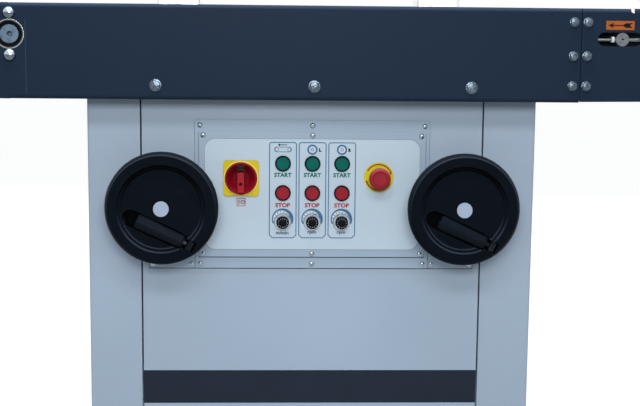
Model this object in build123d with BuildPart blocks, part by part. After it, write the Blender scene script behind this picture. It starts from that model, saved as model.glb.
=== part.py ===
from build123d import *
import os
from math import cos, radians, sin

# Through-feed wood brushing machine: a belt conveyor on a sheet-metal cabinet, two bristle rollers
# over the belt, each raised and lowered from the front by its own handwheel.
# X runs along the belt (work travels towards -X), the operator stands at -Y, Z is up, floor at Z = 0.
# The origin is on the floor under the middle of the machine.

# Cabinet
CABINET_WIDTH = 833.0
CABINET_DEPTH = 600.0
CABINET_SHEET = 2.5
FRONT_RETURN = 97.0
RETURN_FOLD = 22.0
REAR_RETURN = 45.0
REAR_LAP = 22.0
SEAM_GAP = 3.0
SHEET_BEND = 4.0
TOP_PLATE_T = 4.0
BASE_LEG = 60.0
BASE_UPSTAND = 60.0
BASE_T = 4.0
ANCHOR_HOLE_R = 7.0
ANCHOR_FROM_FOOT = 150.0
FOOT_HEIGHT = 40.0
FOOT_PAD_R = 30.0
FOOT_PAD_T = 12.0
FOOT_PAD_RIM = 6.0
FOOT_STUD_R = 8.0
FOOT_NUT_R = 13.8
FOOT_NUT_T = 12.0
FOOT_STUD_TOP = 30.0
LOUVRE_LENGTH = 130.0
LOUVRE_HEIGHT = 7.0
LOUVRE_PITCH = 22.0
LOUVRE_ROWS = 8
GLAND_RISE = 40.0
GLAND_HEX_R = 15.0
GLAND_HEX_T = 7.5
GLAND_CAP_R = 12.5
GLAND_LENGTH = 20.0
GLAND_NECK_R = 10.0
GLAND_NECK = 10.0
GLAND_NUT_T = 5.0
GLAND_BORE_R = 6.5

# Conveyor rails
RAIL_TOP_Z = 900.0
RAIL_HEIGHT = 168.9
RAIL_T = 4.0
RAIL_FLANGE = 30.0
RAIL_BEND = 7.0
RAIL_HALF_LENGTH = 612.0
RAIL_OVERHANG = 73.0
LEFT_FLANGE_SHORT = 71.5
RIGHT_FLANGE_SHORT = 44.6
END_PLATE_LENGTH = 133.0
END_PLATE_GAP = 1.0
END_PLATE_LIFT = 1.5
END_PLATE_TAPER = 1.4
RELIEF_WIDTH = 6.6
RELIEF_DEPTH = 8.0
SPLICE_HALF = 25.0
SPLICE_EDGE = 12.5
SPLICE_T = 4.0
SPLICE_BOLT_LEFT = 13.9
SPLICE_BOLT_RIGHT = 10.9
SPLICE_BOLT_DROPS = (24.4, 85.0, 138.7)
LOW_BOLT_DROP = 143.4
LOW_BOLT_INSET = 36.5

# Bolts
BOLT_R = 5.0
BOLT_CLEARANCE = 0.3
BOLT_HEAD_R = 9.2
BOLT_HEAD_T = 6.4
WASHER_R = 11.0
SPLICE_HEAD_R = 8.1
SPLICE_WASHER_R = 8.7
WASHER_T = 2.0
BOLT_REACH = 16.0
DOME_R = 10.5
DOME_TOP_R = 5.0
DOME_RIM_T = 3.0
DOME_T = 5.0
SCREW_R = 2.0
SCREW_HEAD_R = 4.7
SCREW_RIM_T = 1.2
SCREW_HEAD_T = 2.6

# Belt, rollers and bed
BELT_WIDTH = 310.0
BELT_T = 3.7
BELT_RISE = 0.8
BELT_EDGE_GAP = 5.0
SKIN_GAP = 0.3
RUNNING_GAP = 0.05
ROLLER_R = 51.8
ROLLER_INSET = 4.0
ROLLER_SHELL = 6.0
ROLLER_DISC = 20.0
DRIVE_INSET = 72.5
IDLER_INSET = 58.5
DRIVE_SHAFT_R = 17.5
END_INSET = 1.0
SHAFT_CHAMFER = 1.2
CENTRE_HOLE_R = 4.0
CENTRE_HOLE_DEPTH = 12.0
BEARING_NOSE_R = 26.0
BEARING_FLANGE_T = 12.0
BEARING_BOSS_T = 8.0
BEARING_BOLT_DROP = 37.0
BEARING_FLANGE_W = 64.0
BEARING_FLANGE_H = 100.0
SEAL_R = 23.0
SEAL_DEPTH = 2.0
IDLER_SHAFT_R = 12.0
IDLER_CENTRE_R = 2.0
SLOT_LENGTH = 81.0
SLOT_INSET = 63.0
TENSION_ROD_R = 3.0
TENSION_NUT_R = 5.8
TENSION_NUT_T = 5.5
TENSION_BACK = 9.0
TENSION_BLOCK = 12.0
TENSION_BLOCK_GAP = 3.0
BED_T = 3.0
BED_CLEAR = 26.0
BED_RIB_T = 8.0
BED_RIB_H = 45.0
CROSS_TUBE_W = 60.0
CROSS_TUBE_H = 40.0
CROSS_TUBE_WALL = 3.0
CROSS_TUBE_END = 8.0

# Feed gearmotor
GEARBOX_W = 110.0
GEARBOX_DEPTH = 100.0
GEARBOX_UP = 60.0
GEARBOX_DOWN = 75.0
GEARBOX_STANDOFF = 14.0
GEARBOX_PAD = 18.0
GEARBOX_ROUND = 9.0
FEED_MOTOR_CORE_R = 44.0
FEED_MOTOR_R = 50.0
FEED_MOTOR_LENGTH = 215.0

# Control panel
PANEL_DROP = 316.0
OUTER_HALF = 218.3
OUTER_UP = 108.0
OUTER_DOWN = 170.4
SIDE_PLATE_OUT = 304.0
SIDE_PLATE_UP = 25.0
INNER_HALF = 211.0
INNER_UP = 87.0
INNER_DOWN = 148.5
PLATE_T = 3.0
PLATE_GAP = 0.4
PLATE_CORNER = 3.0
OUTER_SCREW_X = 209.0
OUTER_SCREW_EDGE = 10.2
OUTER_SCREW_LOW_EDGE = 7.7
INNER_SCREW_X = 203.0
INNER_SCREW_EDGE = 7.5
INNER_SCREW_LOW_EDGE = 5.8
SIDE_SCREW_INSET = 6.5
BOX_HALF = 185.0
BOX_UP = 62.0
BOX_DOWN = 128.0
BOX_DEPTH = 95.0
BOX_SHEET = 2.0
BOX_FLANGE = 15.0
BLOCK_WIDTH = 28.0
BLOCK_HEIGHT = 42.0
BLOCK_DEPTH = 40.0
POT_DEPTH = 20.0
COLUMN_PITCH = 55.0
ROW_PITCH = 55.0
BUTTON_HOLE_R = 11.2
BEZEL_R = 14.8
BEZEL_T = 5.0
BEZEL_FLOOR = 1.0
BUTTON_R = 11.9
BUTTON_EDGE = 1.0
BUTTON_PROUD = 2.4
BUTTON_TRAVEL = 3.0
BUTTON_STEM_R = 9.2
NECK_WALL = 1.3
NECK_LENGTH = 12.0
KNOB_DROP = 82.0
DIAL_BEZEL_R = 15.5
DIAL_BEZEL_T = 5.0
DIAL_BUSH_R = 5.0
KNOB_R = 12.0
KNOB_LENGTH = 11.0
KNOB_STEM_R = 3.0
KNOB_FLUTES = 20
KNOB_TOP_R = 10.0
KNOB_SKIRT = 2.0
FLUTE_R = 1.0
ISOLATOR_X = -132.6
ISOLATOR_PLATE = 66.0
ISOLATOR_PLATE_T = 5.0
ISOLATOR_PLATE_CORNER = 6.0
ISOLATOR_RIM_R = 32.5
ISOLATOR_RIM_T = 3.0
ISOLATOR_DIAL_R = 30.0
ISOLATOR_DIAL_T = 8.0
ISOLATOR_DISH_R = 27.0
ISOLATOR_DISH_FLOOR_R = 15.0
ISOLATOR_DISH = 5.0
ISOLATOR_BAR_W = 14.6
ISOLATOR_BAR_T = 16.0
ISOLATOR_BAR_UP = 13.0
ISOLATOR_BAR_DOWN = 26.0
LOCK_TAB_W = 12.4
LOCK_TAB_UP = 25.0
ISOLATOR_BAR_ROUND = 3.0
ISOLATOR_BAR_TAPER = 3.5
ISOLATOR_DIAL_EDGE = 1.6
ISOLATOR_STEM_R = 4.0
LOCK_HOLE_R = 3.2
LOCK_HOLE_DROP = 9.0
ESTOP_X = 123.6
ESTOP_RISE = 2.7
ESTOP_RING_R = 27.6
ESTOP_RING_T = 2.5
ESTOP_COLLAR_R = 15.0
ESTOP_COLLAR_T = 12.0
ESTOP_HEAD_R = 20.0
ESTOP_HEAD_T = 17.0
ESTOP_CROWN_R = 6.0
ESTOP_GROOVE_R = 11.0
ESTOP_GROOVE_W = 1.6
ESTOP_GROOVE_DEPTH = 0.8
ESTOP_UNDERCUT = 6.0
ESTOP_TRAVEL = 5.0
ESTOP_STEM_R = 9.0

# Handwheels
WHEEL_X = 273.8
WHEEL_DROP = 48.2
WHEEL_R = 102.6
WHEEL_MID = 75.0
RIM_HALF_T = 16.0
RIM_FLAT_R = 97.2
RIM_EDGE = 2.0
RIM_INNER_R = 79.8
RIM_STEP = 2.8
LEDGE_OUT = 88.4
DISC_R = 71.0
DISC_STEP = 2.5
DISC_OUT = 86.0
DISC_T = 9.0
HUB_R = 22.0
HUB_BACK = 40.0
SHAFT_R = 10.0
HUB_CAP_R = 14.0
HUB_CAP_OUT = 88.0
HUB_CAP_T = 4.0
PIVOT_R = 83.1
PIVOT_ANGLE = -52.3
FOLD_ANGLE = 155.0
GRIP_OUT = 85.0
GRIP_START = 13.0
GRIP_LENGTH = 92.0
GRIP_R_PIVOT = 11.8
GRIP_R_FREE = 13.5
GRIP_ROUND = 2.5
HANDLE_ROD_R = 5.0
HANDLE_HEAD_R = 8.0
HANDLE_HEAD_T = 3.0
HANDLE_BLOCK_R = 8.0
HANDLE_BLOCK_W = 16.4
HANDLE_PIN_R = 3.0
HANDLE_PIN_LENGTH = 30.0
HANDLE_LUG_WALL = 3.0
HANDLE_LUG_LENGTH = 14.0
POCKET_GAP = 1.6
POCKET_WALL = 4.0
SCOOP_LENGTH = 25.0

# Lift drive
TUBE_R = 22.0
TUBE_BORE_R = 14.0
TUBE_BUSH = 20.0
PANEL_HOLE_R = 16.0
GEAR_PITCH_R = 24.0
GEAR_FACE = 12.0
GEAR_GAP = 0.4
GEAR_HUB = 6.0
LIFT_BOX_HALF = 42.0
LIFT_BOX_WALL = 9.0
LIFT_BOX_DOWN = 42.0
LIFT_BOX_UP = 60.0
LEG_GAP = 2.0
SCREW_SHANK_R = 10.0
POST_WIDTH = 90.0
POST_WALL = 8.0
POST_GAP = 28.0
POST_CORNER = 5.0
NUT_PLATE_T = 30.0
GUIDE_WALL = 12.0
GUIDE_UP = 94.0
GUIDE_DOWN = 97.0
GUIDE_FLANGE = 170.0
GUIDE_BOLT_X = 71.0
GUIDE_BOLT_Y = 40.0
GUIDE_FLANGE_T = 14.0
LIFT_UP = 60.0
LIFT_DOWN = 55.0
POST_SPARE = 15.0
SCREW_SPARE = 20.0

# Brush heads
BRUSH_R = 100.0
BRUSH_LENGTH = 300.0
BRUSH_BACKING_R = 60.0
BRUSH_BACKING_T = 8.0
BRUSH_DISC = 14.0
BRUSH_GAP = 62.2
STRAND_WIDTH = 7.0
STRAND_ROWS = 20
STRANDS_IN_ROW = 10
STRAND_ROOT = 3.0
STRAND_STAGGER = 6.0
SPINDLE_R = 15.0
SHOULDER_R = 40.0
SHOULDER_T = 7.0
CLAMP_NUT_R = 26.0
CLAMP_NUT_T = 12.0
HOUSING_R = 58.0
HOUSING_BORE_R = 32.0
HOUSING_BEARING = 25.0
HOUSING_FLANGE_R = 75.0
HOUSING_FLANGE_T = 12.0
HOUSING_OVERHANG = 90.0
MOTOR_CORE_R = 66.0
MOTOR_R = 76.0
MOTOR_LENGTH = 275.0
MOTOR_FLANGE_R = 80.0
MOTOR_FLANGE_T = 12.0
MOTOR_COWL = 55.0
COWL_EDGE = 10.0
GRILLE_SLOTS = 16
GRILLE_EDGE = 14.0
GRILLE_HUB_R = 14.0
GRILLE_SLOT_W = 4.0
GRILLE_DEPTH = 5.0
MOTOR_FINS = 24
FIN_T = 3.0
TERMINAL_BOX = 80.0
SPINDLE_SOCKET = 30.0
HOOD_BACK_GAP = 18.0
HOOD_FRONT_GAP = 20.0
HOOD_SHEET = 2.5
HOOD_CLEAR = 19.5
HOOD_SKIRT = 75.0
HOOD_HOLE_GAP = 2.0
SPIGOT_R = 50.0
SPIGOT_WALL = 2.0
SPIGOT_LENGTH = 75.0
SPIGOT_COLLAR_R = 60.0
SPIGOT_COLLAR_T = 5.0
DOOR_T = 3.0
DOOR_GAP = 0.3
HINGE_R = 5.0
HINGE_PIN_R = 2.5
HINGE_KNUCKLE = 30.0
HINGE_OUT = 5.5
HINGE_LEAF = 20.0
HINGE_STRAP = 10.0
DOOR_KNOB_R = 9.0
DOOR_KNOB_T = 11.0
DOOR_KNOB_INSET = 30.0
DOOR_NECK_R = 4.5
DOOR_NECK_LENGTH = 11.0

# Ends of the conveyor
LEFT_FLANGE_END = RAIL_HALF_LENGTH - LEFT_FLANGE_SHORT
RIGHT_FLANGE_END = RAIL_HALF_LENGTH - RIGHT_FLANGE_SHORT
END_PLATE_SEAM_X = RAIL_HALF_LENGTH - END_PLATE_LENGTH
DRIVE_X = DRIVE_INSET - RAIL_HALF_LENGTH
IDLER_X = RAIL_HALF_LENGTH - IDLER_INSET
SLOT_CENTRE_X = RAIL_HALF_LENGTH - SLOT_INSET

# Heights that follow from the sizes above
RAIL_BOTTOM_Z = RAIL_TOP_Z - RAIL_HEIGHT
CABINET_TOP_Z = RAIL_BOTTOM_Z + RAIL_T
PANEL_Z = RAIL_TOP_Z - PANEL_DROP
WHEEL_Z = PANEL_Z - WHEEL_DROP
BELT_R = ROLLER_R + SKIN_GAP + BELT_T
ROLLER_Z = RAIL_TOP_Z + BELT_RISE - BELT_R
BRUSH_Z = RAIL_TOP_Z + BELT_RISE + BRUSH_GAP + BRUSH_R
GUIDE_BOTTOM_Z = CABINET_TOP_Z - GUIDE_DOWN
POST_BOTTOM_Z = WHEEL_Z + LIFT_BOX_UP + LIFT_DOWN + POST_SPARE

# Depths behind the cabinet's front face, then the same places in Y
RAIL_D = -RAIL_OVERHANG
BELT_D = RAIL_D + RAIL_FLANGE + BELT_EDGE_GAP
REAR_RAIL_D = BELT_D + BELT_WIDTH + BELT_EDGE_GAP + RAIL_FLANGE
POST_D = REAR_RAIL_D + POST_GAP + POST_WIDTH / 2
MOTOR_BACK_D = POST_D + HOUSING_OVERHANG + MOTOR_LENGTH
FACE_Y = (GRIP_OUT + GRIP_R_FREE - MOTOR_BACK_D) / 2
BACK_Y = FACE_Y + CABINET_DEPTH
RAIL_Y = FACE_Y + RAIL_D
WEB_Y = RAIL_Y + RAIL_T
BELT_Y = FACE_Y + BELT_D
BELT_BACK_Y = BELT_Y + BELT_WIDTH
REAR_RAIL_Y = FACE_Y + REAR_RAIL_D
REAR_WEB_Y = REAR_RAIL_Y - RAIL_T
POST_Y = FACE_Y + POST_D
HOUSING_FRONT_Y = BELT_BACK_Y + HOOD_BACK_GAP
HOUSING_BACK_Y = POST_Y + HOUSING_OVERHANG
BRUSH_Y = (BELT_Y + BELT_BACK_Y - BRUSH_LENGTH) / 2
BRUSH_BACK_Y = BRUSH_Y + BRUSH_LENGTH
HOOD_Y = BRUSH_Y - HOOD_FRONT_GAP
PLATE_Y = FACE_Y - PLATE_T
SWITCH_Y = PLATE_Y - PLATE_T

BOLT_HOLE_R = BOLT_R + BOLT_CLEARANCE

# Widths
HALF_WIDTH = CABINET_WIDTH / 2
INSIDE_X = HALF_WIDTH - CABINET_SHEET
RETURN_X = HALF_WIDTH - FRONT_RETURN
PANEL_HALF = RETURN_X - SEAM_GAP
LOW_BOLT_PITCH = RETURN_X - LOW_BOLT_INSET
LOW_BOLT_XS = (-LOW_BOLT_PITCH, 0.0, LOW_BOLT_PITCH)
LOW_BOLT_Z = RAIL_TOP_Z - LOW_BOLT_DROP
COLUMN_XS = (-COLUMN_PITCH, 0.0, COLUMN_PITCH)
SPLICE_XS = (END_PLATE_SEAM_X - SPLICE_BOLT_LEFT, END_PLATE_SEAM_X + SPLICE_BOLT_RIGHT)
SPLICE_POINTS = [(x, RAIL_TOP_Z - drop) for x in SPLICE_XS for drop in SPLICE_BOLT_DROPS]
BEARING_POINTS = [(DRIVE_X, ROLLER_Z + BEARING_BOLT_DROP), (DRIVE_X, ROLLER_Z - BEARING_BOLT_DROP)]
SIDES = (("left", -1), ("right", 1))
COLUMNS = ("feed", "left_brush", "right_brush")

UPRIGHT = (Align.CENTER, Align.CENTER, Align.MIN)
TO_FRONT = (0, -1, 0)
TO_BACK = (0, 1, 0)


def front_plane(y):
    """Plane at depth y: local x is X, local y is Z, and an extrusion runs towards the front."""
    return Plane.XZ.offset(-y)


def block(low, high, mode=Mode.ADD):
    """Box between two opposite corners."""
    centre = tuple((a + b) / 2 for a, b in zip(low, high))
    size = tuple(b - a for a, b in zip(low, high))
    with Locations(centre):
        Box(*size, mode=mode)


def rod(start, direction, radius, length, mode=Mode.ADD):
    """Round bar from a point along a direction."""
    with Locations(Plane(start, z_dir=direction)):
        Cylinder(radius, length, align=UPRIGHT, mode=mode)


def turn(outline, x, z, mode=Mode.ADD):
    """Solid of revolution about the front-to-back line through (x, z); outline points are (radius, y)."""
    with BuildSketch(Plane((x, 0, z))) as section:
        with BuildLine():
            Polyline(*outline, close=True)
        make_face()
    revolve(section.sketch, axis=Axis((x, 0, z), TO_BACK), mode=mode)


def turn_up(outline, x, y, mode=Mode.ADD):
    """Solid of revolution about the upright line through (x, y); outline points are (radius, z)."""
    with BuildSketch(Plane((x, y, 0), x_dir=(1, 0, 0), z_dir=TO_FRONT)) as section:
        with BuildLine():
            Polyline(*outline, close=True)
        make_face()
    revolve(section.sketch, axis=Axis((x, y, 0), (0, 0, 1)), mode=mode)


def hex_bolt(x, y, z, direction, reach=BOLT_REACH, washer_r=WASHER_R, head_r=BOLT_HEAD_R):
    """Hexagon bolt seated at a point: washer and head stand out along direction, the shank runs inward."""
    inward = tuple(-part for part in direction)
    rod((x, y, z), direction, washer_r, WASHER_T)
    rod((x, y, z), inward, BOLT_R, reach)
    with BuildSketch(Plane((x, y, z), x_dir=(1, 0, 0), z_dir=direction).offset(WASHER_T)) as head:
        RegularPolygon(head_r, 6)
    extrude(head.sketch, amount=BOLT_HEAD_T)


def finned_motor(plane, core_r, outer_r, flange_r, length):
    """Flange motor standing on a plane: flange, ribbed barrel, fan cowl with its air slots, terminal box."""
    barrel = length - MOTOR_COWL
    fin_length = barrel - MOTOR_FLANGE_T
    with Locations(plane):
        Cylinder(flange_r, MOTOR_FLANGE_T, align=UPRIGHT)
        Cylinder(core_r, barrel, align=UPRIGHT)
        with Locations((0, 0, barrel)):
            Cylinder(outer_r, MOTOR_COWL - COWL_EDGE, align=UPRIGHT)
        with Locations((0, 0, length - COWL_EDGE)):
            Cone(outer_r, outer_r - COWL_EDGE, COWL_EDGE, align=UPRIGHT)
        with Locations((0, 0, length - GRILLE_DEPTH)):
            with PolarLocations(GRILLE_HUB_R, GRILLE_SLOTS):
                Box(
                    outer_r - GRILLE_EDGE - GRILLE_HUB_R,
                    GRILLE_SLOT_W,
                    GRILLE_DEPTH,
                    align=(Align.MIN, Align.CENTER, Align.MIN),
                    mode=Mode.SUBTRACT,
                )
        with Locations((0, 0, MOTOR_FLANGE_T)):
            with PolarLocations(core_r - FIN_T / 2, MOTOR_FINS, start_angle=180 / MOTOR_FINS):
                Box(outer_r - core_r, FIN_T, fin_length, align=(Align.MIN, Align.CENTER, Align.MIN))
        with Locations((0, -core_r, MOTOR_FLANGE_T + fin_length / 2)):
            Box(TERMINAL_BOX, TERMINAL_BOX, TERMINAL_BOX)


def write_step(piece, name):
    """Name a finished piece and write its file."""
    piece.part.label = name
    export_step(piece.part, f"parts/{name}.step")


os.makedirs("parts", exist_ok=True)


# Cabinet side panels: each folded from one sheet, with a wide front return and a narrow rear one
with BuildPart() as side_panels:
    with BuildSketch(Plane.XY.offset(FOOT_HEIGHT)):
        with Locations(((HALF_WIDTH + INSIDE_X) / 2, (FACE_Y + BACK_Y) / 2)):
            Rectangle(CABINET_SHEET, CABINET_DEPTH)
        with Locations((HALF_WIDTH - FRONT_RETURN / 2, FACE_Y + CABINET_SHEET / 2)):
            Rectangle(FRONT_RETURN, CABINET_SHEET)
        with Locations((RETURN_X + CABINET_SHEET / 2, FACE_Y + RETURN_FOLD / 2)):
            Rectangle(CABINET_SHEET, RETURN_FOLD)
        with Locations((HALF_WIDTH - REAR_RETURN / 2, BACK_Y - CABINET_SHEET / 2)):
            Rectangle(REAR_RETURN, CABINET_SHEET)
    extrude(amount=CABINET_TOP_Z - FOOT_HEIGHT)
    fillet(side_panels.edges().filter_by(Axis.Z).group_by(Axis.X)[-1], SHEET_BEND)
    mirror(about=Plane.YZ)
write_step(side_panels, "side_panels")

# Front panel between the two returns, with folded edges, a window for the controls and two shaft holes
with BuildPart() as front_panel:
    block((-PANEL_HALF, FACE_Y, FOOT_HEIGHT), (PANEL_HALF, FACE_Y + CABINET_SHEET, CABINET_TOP_Z))
    for sign in (-1, 1):
        edge_x = sign * (PANEL_HALF - CABINET_SHEET / 2)
        with Locations((edge_x, FACE_Y + RETURN_FOLD / 2, (FOOT_HEIGHT + CABINET_TOP_Z) / 2)):
            Box(CABINET_SHEET, RETURN_FOLD, CABINET_TOP_Z - FOOT_HEIGHT)
        rod((sign * WHEEL_X, FACE_Y, WHEEL_Z), TO_BACK, PANEL_HOLE_R, CABINET_SHEET, mode=Mode.SUBTRACT)
    window_low = (-BOX_HALF + BOX_SHEET, FACE_Y, PANEL_Z - BOX_DOWN + BOX_SHEET)
    window_high = (BOX_HALF - BOX_SHEET, FACE_Y + CABINET_SHEET, PANEL_Z + BOX_UP - BOX_SHEET)
    block(window_low, window_high, mode=Mode.SUBTRACT)
write_step(front_panel, "front_panel")

# Rear panel lapped over the rear returns, with a bank of louvres each side
REAR_PANEL_HALF = HALF_WIDTH - REAR_RETURN + REAR_LAP
with BuildPart() as rear_panel:
    block((-REAR_PANEL_HALF, BACK_Y, FOOT_HEIGHT), (REAR_PANEL_HALF, BACK_Y + CABINET_SHEET, CABINET_TOP_Z))
    with BuildSketch(front_plane(BACK_Y + CABINET_SHEET)):
        with Locations((0, (FOOT_HEIGHT + CABINET_TOP_Z) / 2)):
            with GridLocations(REAR_PANEL_HALF, LOUVRE_PITCH, 2, LOUVRE_ROWS):
                SlotOverall(LOUVRE_LENGTH, LOUVRE_HEIGHT)
    extrude(amount=CABINET_SHEET, mode=Mode.SUBTRACT)
    gland_seat = (0, BACK_Y + CABINET_SHEET, FOOT_HEIGHT + BASE_UPSTAND + GLAND_RISE)
    rod(gland_seat, TO_FRONT, GLAND_NECK_R + BOLT_CLEARANCE, CABINET_SHEET, mode=Mode.SUBTRACT)
write_step(rear_panel, "rear_panel")

# Cable gland in the rear panel: hexagon body outside, threaded neck and lock nut inside
with BuildPart() as cable_gland:
    lock_seat = (0, BACK_Y, gland_seat[2])
    bore_start = (0, BACK_Y - GLAND_NECK, gland_seat[2])
    with BuildSketch(Plane(gland_seat, x_dir=(1, 0, 0), z_dir=TO_BACK)):
        RegularPolygon(GLAND_HEX_R, 6)
    extrude(amount=GLAND_HEX_T)
    rod(gland_seat, TO_BACK, GLAND_CAP_R, GLAND_LENGTH)
    rod(bore_start, TO_BACK, GLAND_NECK_R, GLAND_NECK + CABINET_SHEET)
    rod(lock_seat, TO_FRONT, GLAND_HEX_R, GLAND_NUT_T)
    bore_length = GLAND_NECK + CABINET_SHEET + GLAND_LENGTH
    rod(bore_start, TO_BACK, GLAND_BORE_R, bore_length, mode=Mode.SUBTRACT)
write_step(cable_gland, "cable_gland")

# Top plate between the side panels, with a square opening for each post guide
GUIDE_OUTER = POST_WIDTH + 2 * GUIDE_WALL
with BuildPart() as top_plate:
    top_low = (-INSIDE_X, FACE_Y + CABINET_SHEET, CABINET_TOP_Z - TOP_PLATE_T)
    block(top_low, (INSIDE_X, BACK_Y - CABINET_SHEET, CABINET_TOP_Z))
    for sign in (-1, 1):
        with Locations((sign * WHEEL_X, POST_Y, CABINET_TOP_Z - TOP_PLATE_T / 2)):
            Box(GUIDE_OUTER + 2 * SKIN_GAP, GUIDE_OUTER + 2 * SKIN_GAP, TOP_PLATE_T, mode=Mode.SUBTRACT)
            with GridLocations(2 * GUIDE_BOLT_X, 2 * GUIDE_BOLT_Y, 2, 2):
                Cylinder(BOLT_HOLE_R, TOP_PLATE_T, mode=Mode.SUBTRACT)
        seam_x = sign * (PANEL_HALF + SEAM_GAP / 2)
        notch_width = SEAM_GAP + 2 * CABINET_SHEET + 2 * SKIN_GAP
        notch_depth = RETURN_FOLD - CABINET_SHEET + SKIN_GAP
        with Locations((seam_x, FACE_Y + CABINET_SHEET, CABINET_TOP_Z - TOP_PLATE_T / 2)):
            Box(notch_width, 2 * notch_depth, TOP_PLATE_T, mode=Mode.SUBTRACT)
write_step(top_plate, "top_plate")

# Base frame: a ring of angle with its upstand inside the panels; holes for the feet and floor anchors
FOOT_X = INSIDE_X - BASE_LEG / 2
FOOT_FRONT_Y = FACE_Y + RETURN_FOLD + BASE_LEG / 2
FOOT_BACK_Y = BACK_Y - CABINET_SHEET - BASE_LEG / 2
FOOT_POINTS = [(sign * FOOT_X, y) for sign in (-1, 1) for y in (FOOT_FRONT_Y, FOOT_BACK_Y)]
ANCHOR_X = FOOT_X - ANCHOR_FROM_FOOT
ANCHOR_POINTS = [(sign * ANCHOR_X, y) for sign in (-1, 1) for y in (FOOT_FRONT_Y, FOOT_BACK_Y)]
BASE_FRONT_Y = FACE_Y + RETURN_FOLD
BASE_BACK_Y = BACK_Y - CABINET_SHEET
BASE_DEPTH = BASE_BACK_Y - BASE_FRONT_Y
with BuildPart() as base_frame:
    with BuildSketch(Plane.XY.offset(FOOT_HEIGHT)):
        with Locations((0, (BASE_FRONT_Y + BASE_BACK_Y) / 2)):
            Rectangle(2 * INSIDE_X, BASE_DEPTH)
            Rectangle(2 * (INSIDE_X - BASE_LEG), BASE_DEPTH - 2 * BASE_LEG, mode=Mode.SUBTRACT)
        with Locations(*FOOT_POINTS):
            Circle(FOOT_STUD_R + BOLT_CLEARANCE, mode=Mode.SUBTRACT)
        with Locations(*ANCHOR_POINTS):
            Circle(ANCHOR_HOLE_R, mode=Mode.SUBTRACT)
    extrude(amount=BASE_T)
    with BuildSketch(Plane.XY.offset(FOOT_HEIGHT + BASE_T)):
        with Locations((0, (BASE_FRONT_Y + BASE_BACK_Y) / 2)):
            Rectangle(2 * INSIDE_X, BASE_DEPTH)
            Rectangle(2 * (INSIDE_X - BASE_T), BASE_DEPTH - 2 * BASE_T, mode=Mode.SUBTRACT)
    extrude(amount=BASE_UPSTAND - BASE_T)
write_step(base_frame, "base_frame")

# Levelling feet: pad, stud and the two lock nuts that clamp the base leg
FOOT_NUT_TOP_Z = FOOT_HEIGHT + BASE_T
with BuildPart() as levelling_feet:
    for x, y in FOOT_POINTS:
        pad = [(0, 0), (FOOT_PAD_R, 0), (FOOT_PAD_R, FOOT_PAD_RIM), (FOOT_STUD_R, FOOT_PAD_T)]
        stud = [(FOOT_STUD_R, FOOT_NUT_TOP_Z + FOOT_STUD_TOP), (0, FOOT_NUT_TOP_Z + FOOT_STUD_TOP)]
        turn_up(pad + stud, x, y)
        for seat in (FOOT_HEIGHT - FOOT_NUT_T, FOOT_NUT_TOP_Z):
            with BuildSketch(Plane((x, y, seat))):
                RegularPolygon(FOOT_NUT_R, 6)
            extrude(amount=FOOT_NUT_T)
write_step(levelling_feet, "levelling_feet")


# Front rail: a bent channel with its flanges towards the belt; the top flange stops short of the left end
SEAM_LEFT_X = END_PLATE_SEAM_X - END_PLATE_GAP / 2
SEAM_RIGHT_X = END_PLATE_SEAM_X + END_PLATE_GAP / 2
BEARING_HOLE_R = BEARING_NOSE_R + BOLT_CLEARANCE
LEFT_SPLICE_POINTS = [point for point in SPLICE_POINTS if point[0] < END_PLATE_SEAM_X]
RIGHT_SPLICE_POINTS = [point for point in SPLICE_POINTS if point[0] > END_PLATE_SEAM_X]
LOW_BOLT_POINTS = [(x, LOW_BOLT_Z) for x in LOW_BOLT_XS]
with BuildPart() as front_rail:
    with BuildSketch(Plane.YZ.offset(-LEFT_FLANGE_END)) as channel:
        with Locations((RAIL_Y + RAIL_FLANGE / 2, RAIL_BOTTOM_Z + RAIL_HEIGHT / 2)):
            Rectangle(RAIL_FLANGE, RAIL_HEIGHT)
        with Locations((WEB_Y + RAIL_FLANGE / 2, RAIL_BOTTOM_Z + RAIL_HEIGHT / 2)):
            Rectangle(RAIL_FLANGE, RAIL_HEIGHT - 2 * RAIL_T, mode=Mode.SUBTRACT)
        fillet(channel.vertices().group_by(Axis.X)[0], RAIL_BEND)
    extrude(amount=LEFT_FLANGE_END + SEAM_LEFT_X)
    block((-RAIL_HALF_LENGTH, RAIL_Y, RAIL_BOTTOM_Z), (-LEFT_FLANGE_END, WEB_Y, RAIL_TOP_Z))
    with BuildSketch(front_plane(WEB_Y)):
        with Locations(*LOW_BOLT_POINTS, *LEFT_SPLICE_POINTS, *BEARING_POINTS):
            Circle(BOLT_HOLE_R)
        with Locations((DRIVE_X, ROLLER_Z)):
            Circle(BEARING_HOLE_R)
    extrude(amount=RAIL_T, mode=Mode.SUBTRACT)
write_step(front_rail, "front_rail")

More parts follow.
